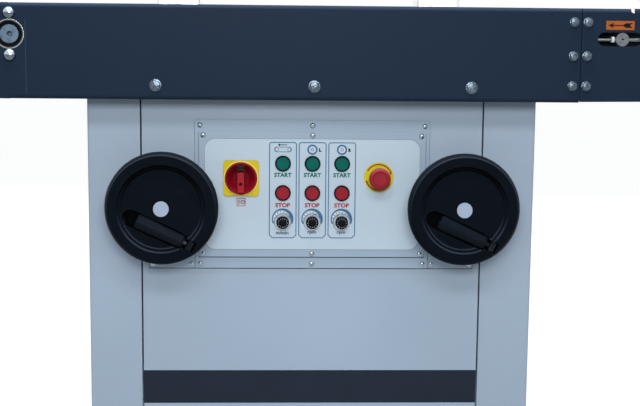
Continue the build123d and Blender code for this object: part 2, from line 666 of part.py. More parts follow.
# Rear rail: an upright web standing on the cabinet top, with its top flange over the belt's edge gap
with BuildPart() as rear_rail:
    with BuildSketch(Plane.YZ.offset(-LEFT_FLANGE_END)) as angle:
        with Locations((REAR_RAIL_Y - RAIL_FLANGE / 2, (CABINET_TOP_Z + RAIL_TOP_Z) / 2)):
            Rectangle(RAIL_FLANGE, RAIL_TOP_Z - CABINET_TOP_Z)
        with Locations((REAR_WEB_Y - RAIL_FLANGE / 2, (CABINET_TOP_Z + RAIL_TOP_Z) / 2 - RAIL_T)):
            Rectangle(RAIL_FLANGE, RAIL_TOP_Z - CABINET_TOP_Z, mode=Mode.SUBTRACT)
        fillet(angle.vertices().group_by(Axis.X)[-1].sort_by(Axis.Y)[-1], RAIL_BEND)
    extrude(amount=LEFT_FLANGE_END + SEAM_LEFT_X)
    block((-RAIL_HALF_LENGTH, REAR_WEB_Y, CABINET_TOP_Z), (-LEFT_FLANGE_END, REAR_RAIL_Y, RAIL_TOP_Z))
    with BuildSketch(front_plane(REAR_RAIL_Y)):
        with Locations(*LOW_BOLT_POINTS, *LEFT_SPLICE_POINTS, *BEARING_POINTS):
            Circle(BOLT_HOLE_R)
        with Locations((DRIVE_X, ROLLER_Z)):
            Circle(BEARING_HOLE_R)
    extrude(amount=RAIL_T, mode=Mode.SUBTRACT)
write_step(rear_rail, "rear_rail")

# Infeed end plates: slotted for the idler shaft, each with its splice plate and tension rod block
SLOT_HEIGHT = 2 * (IDLER_SHAFT_R + SKIN_GAP)
ROD_FRONT_Y = WEB_Y + TENSION_BACK
ROD_REAR_Y = REAR_WEB_Y - TENSION_BACK
BLOCK_X = SLOT_CENTRE_X + SLOT_LENGTH / 2 + TENSION_BLOCK_GAP
BLOCK_END_X = BLOCK_X + TENSION_BLOCK
ROD_HOLE_R = TENSION_ROD_R + BOLT_CLEARANCE
with BuildPart() as infeed_end_plates:
    for bottom_z, outer_y, inner_y, inward in (
        (RAIL_BOTTOM_Z + END_PLATE_LIFT, RAIL_Y, WEB_Y, 1),
        (CABINET_TOP_Z, REAR_RAIL_Y, REAR_WEB_Y, -1),
    ):
        flange_y = outer_y + inward * RAIL_FLANGE
        under_z = RAIL_TOP_Z - RAIL_T
        with BuildSketch(Plane.YZ.offset(SEAM_RIGHT_X)) as folded:
            with BuildLine():
                Polyline(
                    (outer_y, bottom_z),
                    (outer_y, RAIL_TOP_Z),
                    (flange_y, RAIL_TOP_Z),
                    (flange_y, under_z),
                    (inner_y, under_z),
                    (inner_y, bottom_z),
                    close=True,
                )
            make_face()
            bend = folded.vertices().group_by(Axis.Y)[-1].sort_by(Axis.X)
            fillet(bend[0] if inward > 0 else bend[-1], RAIL_BEND)
        extrude(amount=RIGHT_FLANGE_END - SEAM_RIGHT_X)
        web_ys = sorted((outer_y, inner_y))
        web_low = (RIGHT_FLANGE_END, web_ys[0], bottom_z)
        block(web_low, (RAIL_HALF_LENGTH, web_ys[1], RAIL_TOP_Z))
        with BuildSketch(front_plane(web_ys[1])):
            with Locations((SLOT_CENTRE_X, ROLLER_Z)):
                SlotOverall(SLOT_LENGTH, SLOT_HEIGHT)
            with Locations((RIGHT_FLANGE_END + RELIEF_WIDTH / 2, RAIL_TOP_Z - RELIEF_DEPTH / 2)):
                Rectangle(RELIEF_WIDTH, RELIEF_DEPTH)
            with Locations(*RIGHT_SPLICE_POINTS):
                Circle(BOLT_HOLE_R)
            with BuildLine():
                Polyline(
                    (SEAM_RIGHT_X, bottom_z),
                    (RAIL_HALF_LENGTH, bottom_z),
                    (RAIL_HALF_LENGTH, bottom_z + END_PLATE_TAPER),
                    close=True,
                )
            make_face()
        extrude(amount=RAIL_T, mode=Mode.SUBTRACT)
        rod_y = inner_y + inward * TENSION_BACK
        block_ys = sorted((inner_y, rod_y + inward * TENSION_BACK))
        block_low = (BLOCK_X, block_ys[0], ROLLER_Z - TENSION_BLOCK)
        block(block_low, (BLOCK_END_X, block_ys[1], ROLLER_Z + TENSION_BLOCK))
        rod((BLOCK_X, rod_y, ROLLER_Z), (1, 0, 0), ROD_HOLE_R, TENSION_BLOCK, mode=Mode.SUBTRACT)
        splice_ys = sorted((inner_y, inner_y + inward * SPLICE_T))
        with BuildSketch(front_plane(splice_ys[1])):
            splice_low_z = RAIL_TOP_Z - SPLICE_BOLT_DROPS[-1] - SPLICE_EDGE
            splice_high_z = RAIL_TOP_Z - SPLICE_BOLT_DROPS[0] + SPLICE_EDGE
            with Locations((END_PLATE_SEAM_X, (splice_low_z + splice_high_z) / 2)):
                Rectangle(2 * SPLICE_HALF, splice_high_z - splice_low_z)
            with Locations(*SPLICE_POINTS):
                Circle(BOLT_HOLE_R, mode=Mode.SUBTRACT)
        extrude(amount=SPLICE_T)
write_step(infeed_end_plates, "infeed_end_plates")

# Bed frame: three cross tubes on the cabinet top, and the slider bed on ribs between the rails
BED_TOP_Z = RAIL_TOP_Z + BELT_RISE - BELT_T - SKIN_GAP
BED_LEFT_X = DRIVE_X + ROLLER_R + BED_CLEAR
BED_RIGHT_X = IDLER_X - ROLLER_R - BED_CLEAR
RIB_TOP_Z = BED_TOP_Z - BED_T
with BuildPart() as bed_frame:
    for x in LOW_BOLT_XS:
        tube_low = (x - CROSS_TUBE_W / 2, WEB_Y, CABINET_TOP_Z)
        tube_high = (x + CROSS_TUBE_W / 2, REAR_WEB_Y, CABINET_TOP_Z + CROSS_TUBE_H)
        block(tube_low, tube_high)
        wall = (CROSS_TUBE_WALL, CROSS_TUBE_END, CROSS_TUBE_WALL)
        inner_low = tuple(a + b for a, b in zip(tube_low, wall))
        inner_high = tuple(a - b for a, b in zip(tube_high, wall))
        block(inner_low, inner_high, mode=Mode.SUBTRACT)
        rod((x, WEB_Y, LOW_BOLT_Z), TO_BACK, BOLT_HOLE_R, REAR_WEB_Y - WEB_Y, mode=Mode.SUBTRACT)
        rib_low = (x - BED_RIB_T / 2, WEB_Y, RIB_TOP_Z - BED_RIB_H)
        block(rib_low, (x + BED_RIB_T / 2, REAR_WEB_Y, RIB_TOP_Z))
    bed_low = (BED_LEFT_X, BELT_Y + ROLLER_INSET, RIB_TOP_Z)
    block(bed_low, (BED_RIGHT_X, BELT_BACK_Y - ROLLER_INSET, BED_TOP_Z))
write_step(bed_frame, "bed_frame")

# Endless belt round both rollers
with BuildPart() as conveyor_belt:
    with BuildSketch(front_plane(BELT_BACK_Y)):
        with Locations(((DRIVE_X + IDLER_X) / 2, ROLLER_Z)):
            SlotCenterToCenter(IDLER_X - DRIVE_X, 2 * BELT_R)
            SlotCenterToCenter(IDLER_X - DRIVE_X, 2 * (BELT_R - BELT_T), mode=Mode.SUBTRACT)
    extrude(amount=BELT_WIDTH)
write_step(conveyor_belt, "conveyor_belt")

# Drive roller: drum on a through shaft, with a turning centre in its front end
ROLLER_Y = BELT_Y + ROLLER_INSET
ROLLER_BACK_Y = BELT_BACK_Y - ROLLER_INSET
HOLLOW_R = ROLLER_R - ROLLER_SHELL
HOLLOW_Y = ROLLER_Y + ROLLER_DISC
HOLLOW_BACK_Y = ROLLER_BACK_Y - ROLLER_DISC
GEARBOX_Y = REAR_RAIL_Y + GEARBOX_STANDOFF
GEARBOX_BACK_Y = GEARBOX_Y + GEARBOX_DEPTH
DRIVE_FRONT_Y = RAIL_Y + END_INSET
DRIVE_BACK_Y = GEARBOX_BACK_Y - BEARING_FLANGE_T
with BuildPart() as drive_roller:
    drum = [(0, DRIVE_FRONT_Y), (DRIVE_SHAFT_R, DRIVE_FRONT_Y), (DRIVE_SHAFT_R, ROLLER_Y)]
    drum += [(ROLLER_R, ROLLER_Y), (ROLLER_R, ROLLER_BACK_Y), (DRIVE_SHAFT_R, ROLLER_BACK_Y)]
    drum += [(DRIVE_SHAFT_R, DRIVE_BACK_Y), (0, DRIVE_BACK_Y)]
    turn(drum, DRIVE_X, ROLLER_Z)
    hollow = [(DRIVE_SHAFT_R, HOLLOW_Y), (HOLLOW_R, HOLLOW_Y)]
    hollow += [(HOLLOW_R, HOLLOW_BACK_Y), (DRIVE_SHAFT_R, HOLLOW_BACK_Y)]
    turn(hollow, DRIVE_X, ROLLER_Z, mode=Mode.SUBTRACT)
    rod((DRIVE_X, DRIVE_FRONT_Y, ROLLER_Z), TO_BACK, CENTRE_HOLE_R, CENTRE_HOLE_DEPTH, mode=Mode.SUBTRACT)
    chamfer(drive_roller.edges().filter_by(GeomType.CIRCLE).group_by(Axis.Y)[0], SHAFT_CHAMFER)
write_step(drive_roller, "drive_roller")

# Flanged bearings of the drive shaft: oval flange inside the rail, nose through the rail's hole
BEARING_BORE_R = DRIVE_SHAFT_R + RUNNING_GAP
with BuildPart() as drive_bearings:
    for outer_y, inner_y, inward in ((RAIL_Y, WEB_Y, 1), (REAR_RAIL_Y, REAR_WEB_Y, -1)):
        flange_ys = sorted((inner_y, inner_y + inward * BEARING_FLANGE_T))
        with BuildSketch(front_plane(flange_ys[1])):
            with Locations((DRIVE_X, ROLLER_Z)):
                SlotOverall(BEARING_FLANGE_H, BEARING_FLANGE_W, rotation=90)
                Circle(BEARING_BORE_R, mode=Mode.SUBTRACT)
            with Locations(*BEARING_POINTS):
                Circle(BOLT_HOLE_R, mode=Mode.SUBTRACT)
        extrude(amount=BEARING_FLANGE_T)
        boss_y = inner_y + inward * (BEARING_FLANGE_T + BEARING_BOSS_T)
        seal_y = outer_y + inward * SEAL_DEPTH
        nose = [(BEARING_BORE_R, inner_y), (BEARING_NOSE_R, inner_y), (BEARING_NOSE_R, outer_y)]
        nose += [(SEAL_R, outer_y), (SEAL_R, seal_y), (BEARING_BORE_R, seal_y)]
        turn(nose, DRIVE_X, ROLLER_Z)
        flange_in_y = inner_y + inward * BEARING_FLANGE_T
        boss = [(BEARING_BORE_R, flange_in_y), (BEARING_NOSE_R, flange_in_y), (BEARING_NOSE_R, boss_y)]
        boss += [(BEARING_BORE_R, boss_y)]
        turn(boss, DRIVE_X, ROLLER_Z)
write_step(drive_bearings, "drive_bearings")

# Idler roller: tube with a bearing disc in each end, running on the idler shaft
IDLER_BORE_R = IDLER_SHAFT_R + RUNNING_GAP
with BuildPart() as idler_roller:
    drum = [(IDLER_BORE_R, ROLLER_Y), (ROLLER_R, ROLLER_Y)]
    drum += [(ROLLER_R, ROLLER_BACK_Y), (IDLER_BORE_R, ROLLER_BACK_Y)]
    turn(drum, IDLER_X, ROLLER_Z)
    hollow = [(IDLER_BORE_R, HOLLOW_Y), (HOLLOW_R, HOLLOW_Y)]
    hollow += [(HOLLOW_R, HOLLOW_BACK_Y), (IDLER_BORE_R, HOLLOW_BACK_Y)]
    turn(hollow, IDLER_X, ROLLER_Z, mode=Mode.SUBTRACT)
write_step(idler_roller, "idler_roller")

# Idler shaft in the slots, cross-drilled for the tension rods, with a tension nut against it at each end
SHAFT_END_Y = RAIL_Y + END_INSET
NUT_X = IDLER_X - IDLER_SHAFT_R - TENSION_NUT_T
with BuildPart() as idler_shaft:
    shaft_start = (IDLER_X, SHAFT_END_Y, ROLLER_Z)
    rod(shaft_start, TO_BACK, IDLER_SHAFT_R, REAR_RAIL_Y - RAIL_Y - 2 * END_INSET)
    rod(shaft_start, TO_BACK, IDLER_CENTRE_R, CENTRE_HOLE_DEPTH, mode=Mode.SUBTRACT)
    for rod_y in (ROD_FRONT_Y, ROD_REAR_Y):
        with BuildSketch(Plane((NUT_X, rod_y, ROLLER_Z), x_dir=TO_BACK, z_dir=(1, 0, 0))):
            RegularPolygon(TENSION_NUT_R, 6)
        extrude(amount=TENSION_NUT_T - SKIN_GAP)
        drill_start = (NUT_X, rod_y, ROLLER_Z)
        drill_length = TENSION_NUT_T + 2 * IDLER_SHAFT_R
        rod(drill_start, (1, 0, 0), TENSION_ROD_R + RUNNING_GAP, drill_length, mode=Mode.SUBTRACT)
write_step(idler_shaft, "idler_shaft")

# Tension rods: threaded through the shaft and held against the end plates' blocks by a nut
ROD_X = SLOT_CENTRE_X - SLOT_LENGTH / 2 + END_INSET
with BuildPart() as tension_screws:
    for rod_y in (ROD_FRONT_Y, ROD_REAR_Y):
        rod((ROD_X, rod_y, ROLLER_Z), (1, 0, 0), TENSION_ROD_R, BLOCK_END_X + TENSION_NUT_T - ROD_X)
        with BuildSketch(Plane((BLOCK_END_X, rod_y, ROLLER_Z), x_dir=TO_BACK, z_dir=(1, 0, 0))):
            RegularPolygon(TENSION_NUT_R, 6)
        extrude(amount=TENSION_NUT_T)
write_step(tension_screws, "tension_screws")

# Feed gearmotor: gearbox on two pads behind the rear rail, its motor in line behind it
with BuildPart() as feed_gearmotor:
    gearbox_low = (DRIVE_X - GEARBOX_W / 2, GEARBOX_Y, ROLLER_Z - GEARBOX_DOWN)
    gearbox_high = (DRIVE_X + GEARBOX_W / 2, GEARBOX_BACK_Y, ROLLER_Z + GEARBOX_UP)
    block(gearbox_low, gearbox_high)
    fillet(feed_gearmotor.edges().filter_by(Axis.Y), GEARBOX_ROUND)
    for sign in (-1, 1):
        pad_x = DRIVE_X + sign * (GEARBOX_W - GEARBOX_PAD) / 2
        with Locations((pad_x, REAR_RAIL_Y + GEARBOX_STANDOFF / 2, ROLLER_Z)):
            Box(GEARBOX_PAD, GEARBOX_STANDOFF, GEARBOX_UP)
    motor_seat = Plane((DRIVE_X, GEARBOX_BACK_Y, ROLLER_Z), x_dir=(0, 0, -1), z_dir=TO_BACK)
    finned_motor(motor_seat, FEED_MOTOR_CORE_R, FEED_MOTOR_R, FEED_MOTOR_R, FEED_MOTOR_LENGTH)
    drive_seat = (DRIVE_X, GEARBOX_Y, ROLLER_Z)
    rod(drive_seat, TO_BACK, BEARING_BORE_R, DRIVE_BACK_Y + SKIN_GAP - GEARBOX_Y, mode=Mode.SUBTRACT)
write_step(feed_gearmotor, "feed_gearmotor")

# Bolts: hexagon ones in the rails, splice plates and post guides, dome-headed ones at the bearings
GUIDE_BOLT_POINTS = [(a * GUIDE_BOLT_X, POST_Y + b * GUIDE_BOLT_Y) for a in (-1, 1) for b in (-1, 1)]
GUIDE_SEAT_Z = CABINET_TOP_Z + GUIDE_FLANGE_T
DOME_REACH = RAIL_T + BEARING_FLANGE_T
with BuildPart() as rail_bolts:
    for face_y, direction in ((RAIL_Y, TO_FRONT), (REAR_RAIL_Y, TO_BACK)):
        for x, z in LOW_BOLT_POINTS:
            hex_bolt(x, face_y, z, direction)
        for x, z in SPLICE_POINTS:
            hex_bolt(x, face_y, z, direction, washer_r=SPLICE_WASHER_R, head_r=SPLICE_HEAD_R)
        inward = tuple(-part for part in direction)
        for x, z in BEARING_POINTS:
            rod((x, face_y, z), inward, BOLT_R, DOME_REACH)
            with Locations(Plane((x, face_y, z), z_dir=direction)):
                Cylinder(DOME_R, DOME_RIM_T, align=UPRIGHT)
                with Locations((0, 0, DOME_RIM_T)):
                    Cone(DOME_R, DOME_TOP_R, DOME_T, align=UPRIGHT)
    for side, sign in SIDES:
        for offset_x, y in GUIDE_BOLT_POINTS:
            hex_bolt(sign * WHEEL_X + offset_x, y, GUIDE_SEAT_Z, (0, 0, 1), GUIDE_FLANGE_T + TOP_PLATE_T)
write_step(rail_bolts, "rail_bolts")


# Plates on the front panel: a wide plate round the controls and a plate at each handwheel
OUTER_LOW_Z = PANEL_Z - OUTER_DOWN
OUTER_HIGH_Z = PANEL_Z + OUTER_UP
SIDE_IN = OUTER_HALF + PLATE_GAP
SIDE_HIGH_Z = PANEL_Z + SIDE_PLATE_UP
INNER_LOW_Z = PANEL_Z - INNER_DOWN
INNER_HIGH_Z = PANEL_Z + INNER_UP
SCREW_HOLE_R = SCREW_R + BOLT_CLEARANCE
SCREW_ROWS = (OUTER_LOW_Z + OUTER_SCREW_LOW_EDGE, OUTER_HIGH_Z - OUTER_SCREW_EDGE)
OUTER_SCREWS = [(x, z) for x in (-OUTER_SCREW_X, 0, OUTER_SCREW_X) for z in SCREW_ROWS]
INNER_ROWS = (INNER_LOW_Z + INNER_SCREW_LOW_EDGE, INNER_HIGH_Z - INNER_SCREW_EDGE)
INNER_SCREWS = [(x, z) for x in (-INNER_SCREW_X, 0, INNER_SCREW_X) for z in INNER_ROWS]
SIDE_SCREW_XS = (SIDE_IN + SIDE_SCREW_INSET, SIDE_PLATE_OUT - SIDE_SCREW_INSET)
SIDE_SCREWS = [(s * x, SCREW_ROWS[0]) for s in (-1, 1) for x in SIDE_SCREW_XS]
WINDOW_WIDTH = 2 * (BOX_HALF - BOX_SHEET)
WINDOW_HEIGHT = BOX_UP + BOX_DOWN - 2 * BOX_SHEET
WINDOW_Z = PANEL_Z + (BOX_UP - BOX_DOWN) / 2
with BuildPart() as panel_plates:
    with BuildSketch(front_plane(FACE_Y)):
        with Locations((0, (OUTER_LOW_Z + OUTER_HIGH_Z) / 2)):
            Rectangle(2 * OUTER_HALF, OUTER_UP + OUTER_DOWN)
        with Locations((0, WINDOW_Z)):
            Rectangle(WINDOW_WIDTH, WINDOW_HEIGHT, mode=Mode.SUBTRACT)
        for sign in (-1, 1):
            with Locations((sign * (SIDE_IN + SIDE_PLATE_OUT) / 2, (OUTER_LOW_Z + SIDE_HIGH_Z) / 2)):
                RectangleRounded(SIDE_PLATE_OUT - SIDE_IN, SIDE_HIGH_Z - OUTER_LOW_Z, PLATE_CORNER)
            with Locations((sign * WHEEL_X, WHEEL_Z)):
                Circle(PANEL_HOLE_R, mode=Mode.SUBTRACT)
        with Locations(*OUTER_SCREWS, *INNER_SCREWS, *SIDE_SCREWS):
            Circle(SCREW_HOLE_R, mode=Mode.SUBTRACT)
    extrude(amount=PLATE_T)
write_step(panel_plates, "panel_plates")

# Switch panel that carries the controls
START_Z = PANEL_Z + ROW_PITCH / 2
STOP_Z = PANEL_Z - ROW_PITCH / 2
KNOB_Z = PANEL_Z - KNOB_DROP
ESTOP_Z = PANEL_Z + ESTOP_RISE
BUTTON_POINTS = [(x, z) for x in COLUMN_XS for z in (START_Z, STOP_Z)]
DIAL_POINTS = [(x, KNOB_Z) for x in COLUMN_XS]
with BuildPart() as switch_panel:
    with BuildSketch(front_plane(PLATE_Y)):
        with Locations((0, (INNER_LOW_Z + INNER_HIGH_Z) / 2)):
            RectangleRounded(2 * INNER_HALF, INNER_UP + INNER_DOWN, PLATE_CORNER)
        with Locations(*BUTTON_POINTS, (ESTOP_X, ESTOP_Z)):
            Circle(BUTTON_HOLE_R, mode=Mode.SUBTRACT)
        with Locations(*DIAL_POINTS):
            Circle(DIAL_BUSH_R + BOLT_CLEARANCE, mode=Mode.SUBTRACT)
        with Locations((ISOLATOR_X, PANEL_Z)):
            Circle(ISOLATOR_STEM_R + 2 * BOLT_CLEARANCE, mode=Mode.SUBTRACT)
        with Locations(*INNER_SCREWS):
            Circle(SCREW_HOLE_R, mode=Mode.SUBTRACT)
    extrude(amount=PLATE_T)
write_step(switch_panel, "switch_panel")

# Panel screws: domed heads, shanks through the plates
with BuildPart() as panel_screws:
    for points, seat_y, shank in (
        (OUTER_SCREWS, PLATE_Y, PLATE_T),
        (SIDE_SCREWS, PLATE_Y, PLATE_T),
        (INNER_SCREWS, SWITCH_Y, 2 * PLATE_T),
    ):
        for x, z in points:
            head = [(0, seat_y + shank), (SCREW_R, seat_y + shank), (SCREW_R, seat_y), (SCREW_HEAD_R, seat_y)]
            head += [(SCREW_HEAD_R, seat_y - SCREW_RIM_T), (SCREW_R, seat_y - SCREW_HEAD_T)]
            head += [(0, seat_y - SCREW_HEAD_T)]
            turn(head, x, z)
write_step(panel_screws, "panel_screws")

# Control box behind the window, with a contact block behind every control
BOX_Y = FACE_Y + CABINET_SHEET
BLOCK_Y = SWITCH_Y + PLATE_T + NECK_LENGTH
BLOCK_POINTS = BUTTON_POINTS + [(ESTOP_X, ESTOP_Z), (ISOLATOR_X, PANEL_Z)]
with BuildPart() as control_box:
    box_low = (-BOX_HALF, BOX_Y, PANEL_Z - BOX_DOWN)
    box_high = (BOX_HALF, BOX_Y + BOX_DEPTH, PANEL_Z + BOX_UP)
    block(box_low, box_high)
    flange_low = (-BOX_HALF - BOX_FLANGE, BOX_Y, PANEL_Z - BOX_DOWN - BOX_FLANGE)
    block(flange_low, (BOX_HALF + BOX_FLANGE, BOX_Y + BOX_SHEET, PANEL_Z + BOX_UP + BOX_FLANGE))
    hollow_low = (-BOX_HALF + BOX_SHEET, BOX_Y, PANEL_Z - BOX_DOWN + BOX_SHEET)
    hollow_high = (BOX_HALF - BOX_SHEET, BOX_Y + BOX_DEPTH - BOX_SHEET, PANEL_Z + BOX_UP - BOX_SHEET)
    block(hollow_low, hollow_high, mode=Mode.SUBTRACT)
    for x, z in BLOCK_POINTS:
        with Locations((x, BLOCK_Y + BLOCK_DEPTH / 2, z)):
            Box(BLOCK_WIDTH, BLOCK_DEPTH, BLOCK_HEIGHT)
    for x, z in DIAL_POINTS:
        rod((x, BLOCK_Y, z), TO_BACK, KNOB_R, POT_DEPTH)
write_step(control_box, "control_box")

# Yellow backplates: the isolator's square plate with its raised rim, and the ring under the emergency stop
ISOLATOR_FACE_Y = SWITCH_Y - ISOLATOR_PLATE_T
ESTOP_FACE_Y = SWITCH_Y - ESTOP_RING_T
with BuildPart() as yellow_backplates:
    with BuildSketch(front_plane(SWITCH_Y)):
        with Locations((ISOLATOR_X, PANEL_Z)):
            RectangleRounded(ISOLATOR_PLATE, ISOLATOR_PLATE, ISOLATOR_PLATE_CORNER)
            Circle(ISOLATOR_STEM_R + RUNNING_GAP, mode=Mode.SUBTRACT)
    extrude(amount=ISOLATOR_PLATE_T)
    with BuildSketch(front_plane(ISOLATOR_FACE_Y)):
        with Locations((ISOLATOR_X, PANEL_Z)):
            Circle(ISOLATOR_RIM_R)
            Circle(ISOLATOR_DIAL_R + SKIN_GAP, mode=Mode.SUBTRACT)
    extrude(amount=ISOLATOR_RIM_T)
    collar_y = ESTOP_FACE_Y - ESTOP_COLLAR_T
    bore = ESTOP_STEM_R + RUNNING_GAP
    neck_r = BUTTON_HOLE_R - BOLT_CLEARANCE
    neck_y = BLOCK_Y
    ring = [(bore, collar_y), (ESTOP_COLLAR_R, collar_y), (ESTOP_COLLAR_R, ESTOP_FACE_Y)]
    ring += [(ESTOP_RING_R, ESTOP_FACE_Y), (ESTOP_RING_R, SWITCH_Y), (neck_r, SWITCH_Y), (neck_r, neck_y)]
    ring += [(bore, neck_y)]
    turn(ring, ESTOP_X, ESTOP_Z)
write_step(yellow_backplates, "yellow_backplates")

# Isolator knob: dished dial with an upright bar grip, a padlock hole in the bar, the lock tab, and its stem
DIAL_BACK_Y = ISOLATOR_FACE_Y - SKIN_GAP
DIAL_FRONT_Y = DIAL_BACK_Y - ISOLATOR_DIAL_T
DISH_FLOOR_Y = DIAL_FRONT_Y + ISOLATOR_DISH
BAR_FRONT_Y = DIAL_FRONT_Y - ISOLATOR_BAR_T
with BuildPart() as isolator_knob:
    dial = [(0, DIAL_BACK_Y), (ISOLATOR_DIAL_R, DIAL_BACK_Y)]
    dial += [(ISOLATOR_DIAL_R, DIAL_FRONT_Y + ISOLATOR_DIAL_EDGE)]
    dial += [(ISOLATOR_DIAL_R - ISOLATOR_DIAL_EDGE, DIAL_FRONT_Y), (ISOLATOR_DISH_R, DIAL_FRONT_Y)]
    dial += [(ISOLATOR_DISH_FLOOR_R, DISH_FLOOR_Y), (0, DISH_FLOOR_Y)]
    turn(dial, ISOLATOR_X, PANEL_Z)
    with BuildSketch(front_plane(DISH_FLOOR_Y)):
        with Locations((ISOLATOR_X, PANEL_Z + (ISOLATOR_BAR_UP - ISOLATOR_BAR_DOWN) / 2)):
            RectangleRounded(ISOLATOR_BAR_W, ISOLATOR_BAR_UP + ISOLATOR_BAR_DOWN, ISOLATOR_BAR_ROUND)
    extrude(amount=DISH_FLOOR_Y - BAR_FRONT_Y, taper=ISOLATOR_BAR_TAPER)
    lock_start = (ISOLATOR_X, BAR_FRONT_Y, PANEL_Z - LOCK_HOLE_DROP)
    rod(lock_start, TO_BACK, LOCK_HOLE_R, ISOLATOR_BAR_T, mode=Mode.SUBTRACT)
    tab_low = (ISOLATOR_X - LOCK_TAB_W / 2, DIAL_FRONT_Y, PANEL_Z + ISOLATOR_BAR_UP + POCKET_GAP)
    block(tab_low, (ISOLATOR_X + LOCK_TAB_W / 2, DISH_FLOOR_Y, PANEL_Z + LOCK_TAB_UP))
    rod((ISOLATOR_X, DIAL_BACK_Y, PANEL_Z), TO_BACK, ISOLATOR_STEM_R, BLOCK_Y - DIAL_BACK_Y)
write_step(isolator_knob, "isolator_knob")

# Bezels: a threaded ring round each push button, and a plain one under each speed knob
BEZEL_FRONT_Y = SWITCH_Y - BEZEL_T
NECK_R = BUTTON_HOLE_R - BOLT_CLEARANCE
NECK_BORE_R = NECK_R - NECK_WALL
DIAL_FACE_Y = SWITCH_Y - DIAL_BEZEL_T
with BuildPart() as control_bezels:
    for x, z in BUTTON_POINTS:
        ring = [(NECK_BORE_R, BLOCK_Y), (NECK_R, BLOCK_Y), (NECK_R, SWITCH_Y), (BEZEL_R, SWITCH_Y)]
        ring += [(BEZEL_R, BEZEL_FRONT_Y + BEZEL_FLOOR), (BEZEL_R - BEZEL_FLOOR, BEZEL_FRONT_Y)]
        ring += [(BUTTON_R + SKIN_GAP, BEZEL_FRONT_Y), (BUTTON_R + SKIN_GAP, SWITCH_Y - BEZEL_FLOOR)]
        ring += [(NECK_BORE_R, SWITCH_Y - BEZEL_FLOOR)]
        turn(ring, x, z)
    for x, z in DIAL_POINTS:
        ring = [(KNOB_STEM_R + RUNNING_GAP, BLOCK_Y), (DIAL_BUSH_R, BLOCK_Y), (DIAL_BUSH_R, SWITCH_Y)]
        ring += [(DIAL_BEZEL_R, SWITCH_Y), (DIAL_BEZEL_R - BEZEL_FLOOR, DIAL_FACE_Y)]
        ring += [(KNOB_STEM_R + RUNNING_GAP, DIAL_FACE_Y)]
        turn(ring, x, z)
write_step(control_bezels, "control_bezels")

# Push buttons: domed cap and stem, one start and one stop in each column
CAP_FRONT_Y = BEZEL_FRONT_Y - BUTTON_PROUD
CAP_BACK_Y = SWITCH_Y - BEZEL_FLOOR - BUTTON_TRAVEL - SKIN_GAP
STEM_BACK_Y = BLOCK_Y - BUTTON_TRAVEL - SKIN_GAP
for column, x in zip(COLUMNS, COLUMN_XS):
    for kind, z in (("start", START_Z), ("stop", STOP_Z)):
        with BuildPart() as push_button:
            cap = [(0, CAP_FRONT_Y), (BUTTON_R - BUTTON_EDGE, CAP_FRONT_Y)]
            cap += [(BUTTON_R, CAP_FRONT_Y + BUTTON_EDGE), (BUTTON_R, CAP_BACK_Y)]
            cap += [(BUTTON_STEM_R, CAP_BACK_Y), (BUTTON_STEM_R, STEM_BACK_Y), (0, STEM_BACK_Y)]
            turn(cap, x, z)
        write_step(push_button, f"{column}_{kind}_button")

# Speed knobs: fluted caps on thin stems
KNOB_BACK_Y = DIAL_FACE_Y - SKIN_GAP
KNOB_FRONT_Y = KNOB_BACK_Y - KNOB_LENGTH
for column, x in zip(COLUMNS, COLUMN_XS):
    with BuildPart() as speed_knob:
        cap = [(0, KNOB_FRONT_Y), (KNOB_TOP_R, KNOB_FRONT_Y), (KNOB_R, KNOB_FRONT_Y + KNOB_R - KNOB_TOP_R)]
        cap += [(KNOB_R, KNOB_BACK_Y), (KNOB_STEM_R, KNOB_BACK_Y), (KNOB_STEM_R, BLOCK_Y), (0, BLOCK_Y)]
        turn(cap, x, KNOB_Z)
        with Locations(Plane((x, KNOB_BACK_Y - KNOB_SKIRT, KNOB_Z), z_dir=TO_FRONT)):
            with PolarLocations(KNOB_R + FLUTE_R / 2, KNOB_FLUTES):
                Cylinder(FLUTE_R, KNOB_LENGTH, align=UPRIGHT, mode=Mode.SUBTRACT)
    write_step(speed_knob, f"{column}_speed_knob")

# Emergency stop: mushroom head with a ring groove in its crown, on a stem
HEAD_BACK_Y = ESTOP_FACE_Y - ESTOP_COLLAR_T - ESTOP_TRAVEL - SKIN_GAP
HEAD_FRONT_Y = HEAD_BACK_Y - ESTOP_HEAD_T
ESTOP_FLAT_R = ESTOP_HEAD_R - ESTOP_CROWN_R
ESTOP_CROWN_Y = HEAD_FRONT_Y + ESTOP_CROWN_R
ESTOP_STEM_Y = BLOCK_Y - ESTOP_TRAVEL - SKIN_GAP
with BuildPart() as estop_head:
    with BuildSketch(Plane((ESTOP_X, 0, ESTOP_Z))):
        with BuildLine():
            Line((0, HEAD_FRONT_Y), (ESTOP_FLAT_R, HEAD_FRONT_Y))
            RadiusArc((ESTOP_FLAT_R, HEAD_FRONT_Y), (ESTOP_HEAD_R, ESTOP_CROWN_Y), -ESTOP_CROWN_R)
            Polyline(
                (ESTOP_HEAD_R, ESTOP_CROWN_Y),
                (ESTOP_HEAD_R, HEAD_BACK_Y - ESTOP_UNDERCUT),
                (ESTOP_COLLAR_R, HEAD_BACK_Y),
                (ESTOP_STEM_R, HEAD_BACK_Y),
                (ESTOP_STEM_R, ESTOP_STEM_Y),
                (0, ESTOP_STEM_Y),
                (0, HEAD_FRONT_Y),
            )
        make_face()
    revolve(axis=Axis((ESTOP_X, 0, ESTOP_Z), TO_BACK))
    groove_out = ESTOP_GROOVE_R + ESTOP_GROOVE_W
    groove_y = HEAD_FRONT_Y + ESTOP_GROOVE_DEPTH
    groove = [(ESTOP_GROOVE_R, HEAD_FRONT_Y), (groove_out, HEAD_FRONT_Y)]
    groove += [(groove_out, groove_y), (ESTOP_GROOVE_R, groove_y)]
    turn(groove, ESTOP_X, ESTOP_Z, mode=Mode.SUBTRACT)
write_step(estop_head, "estop_head")


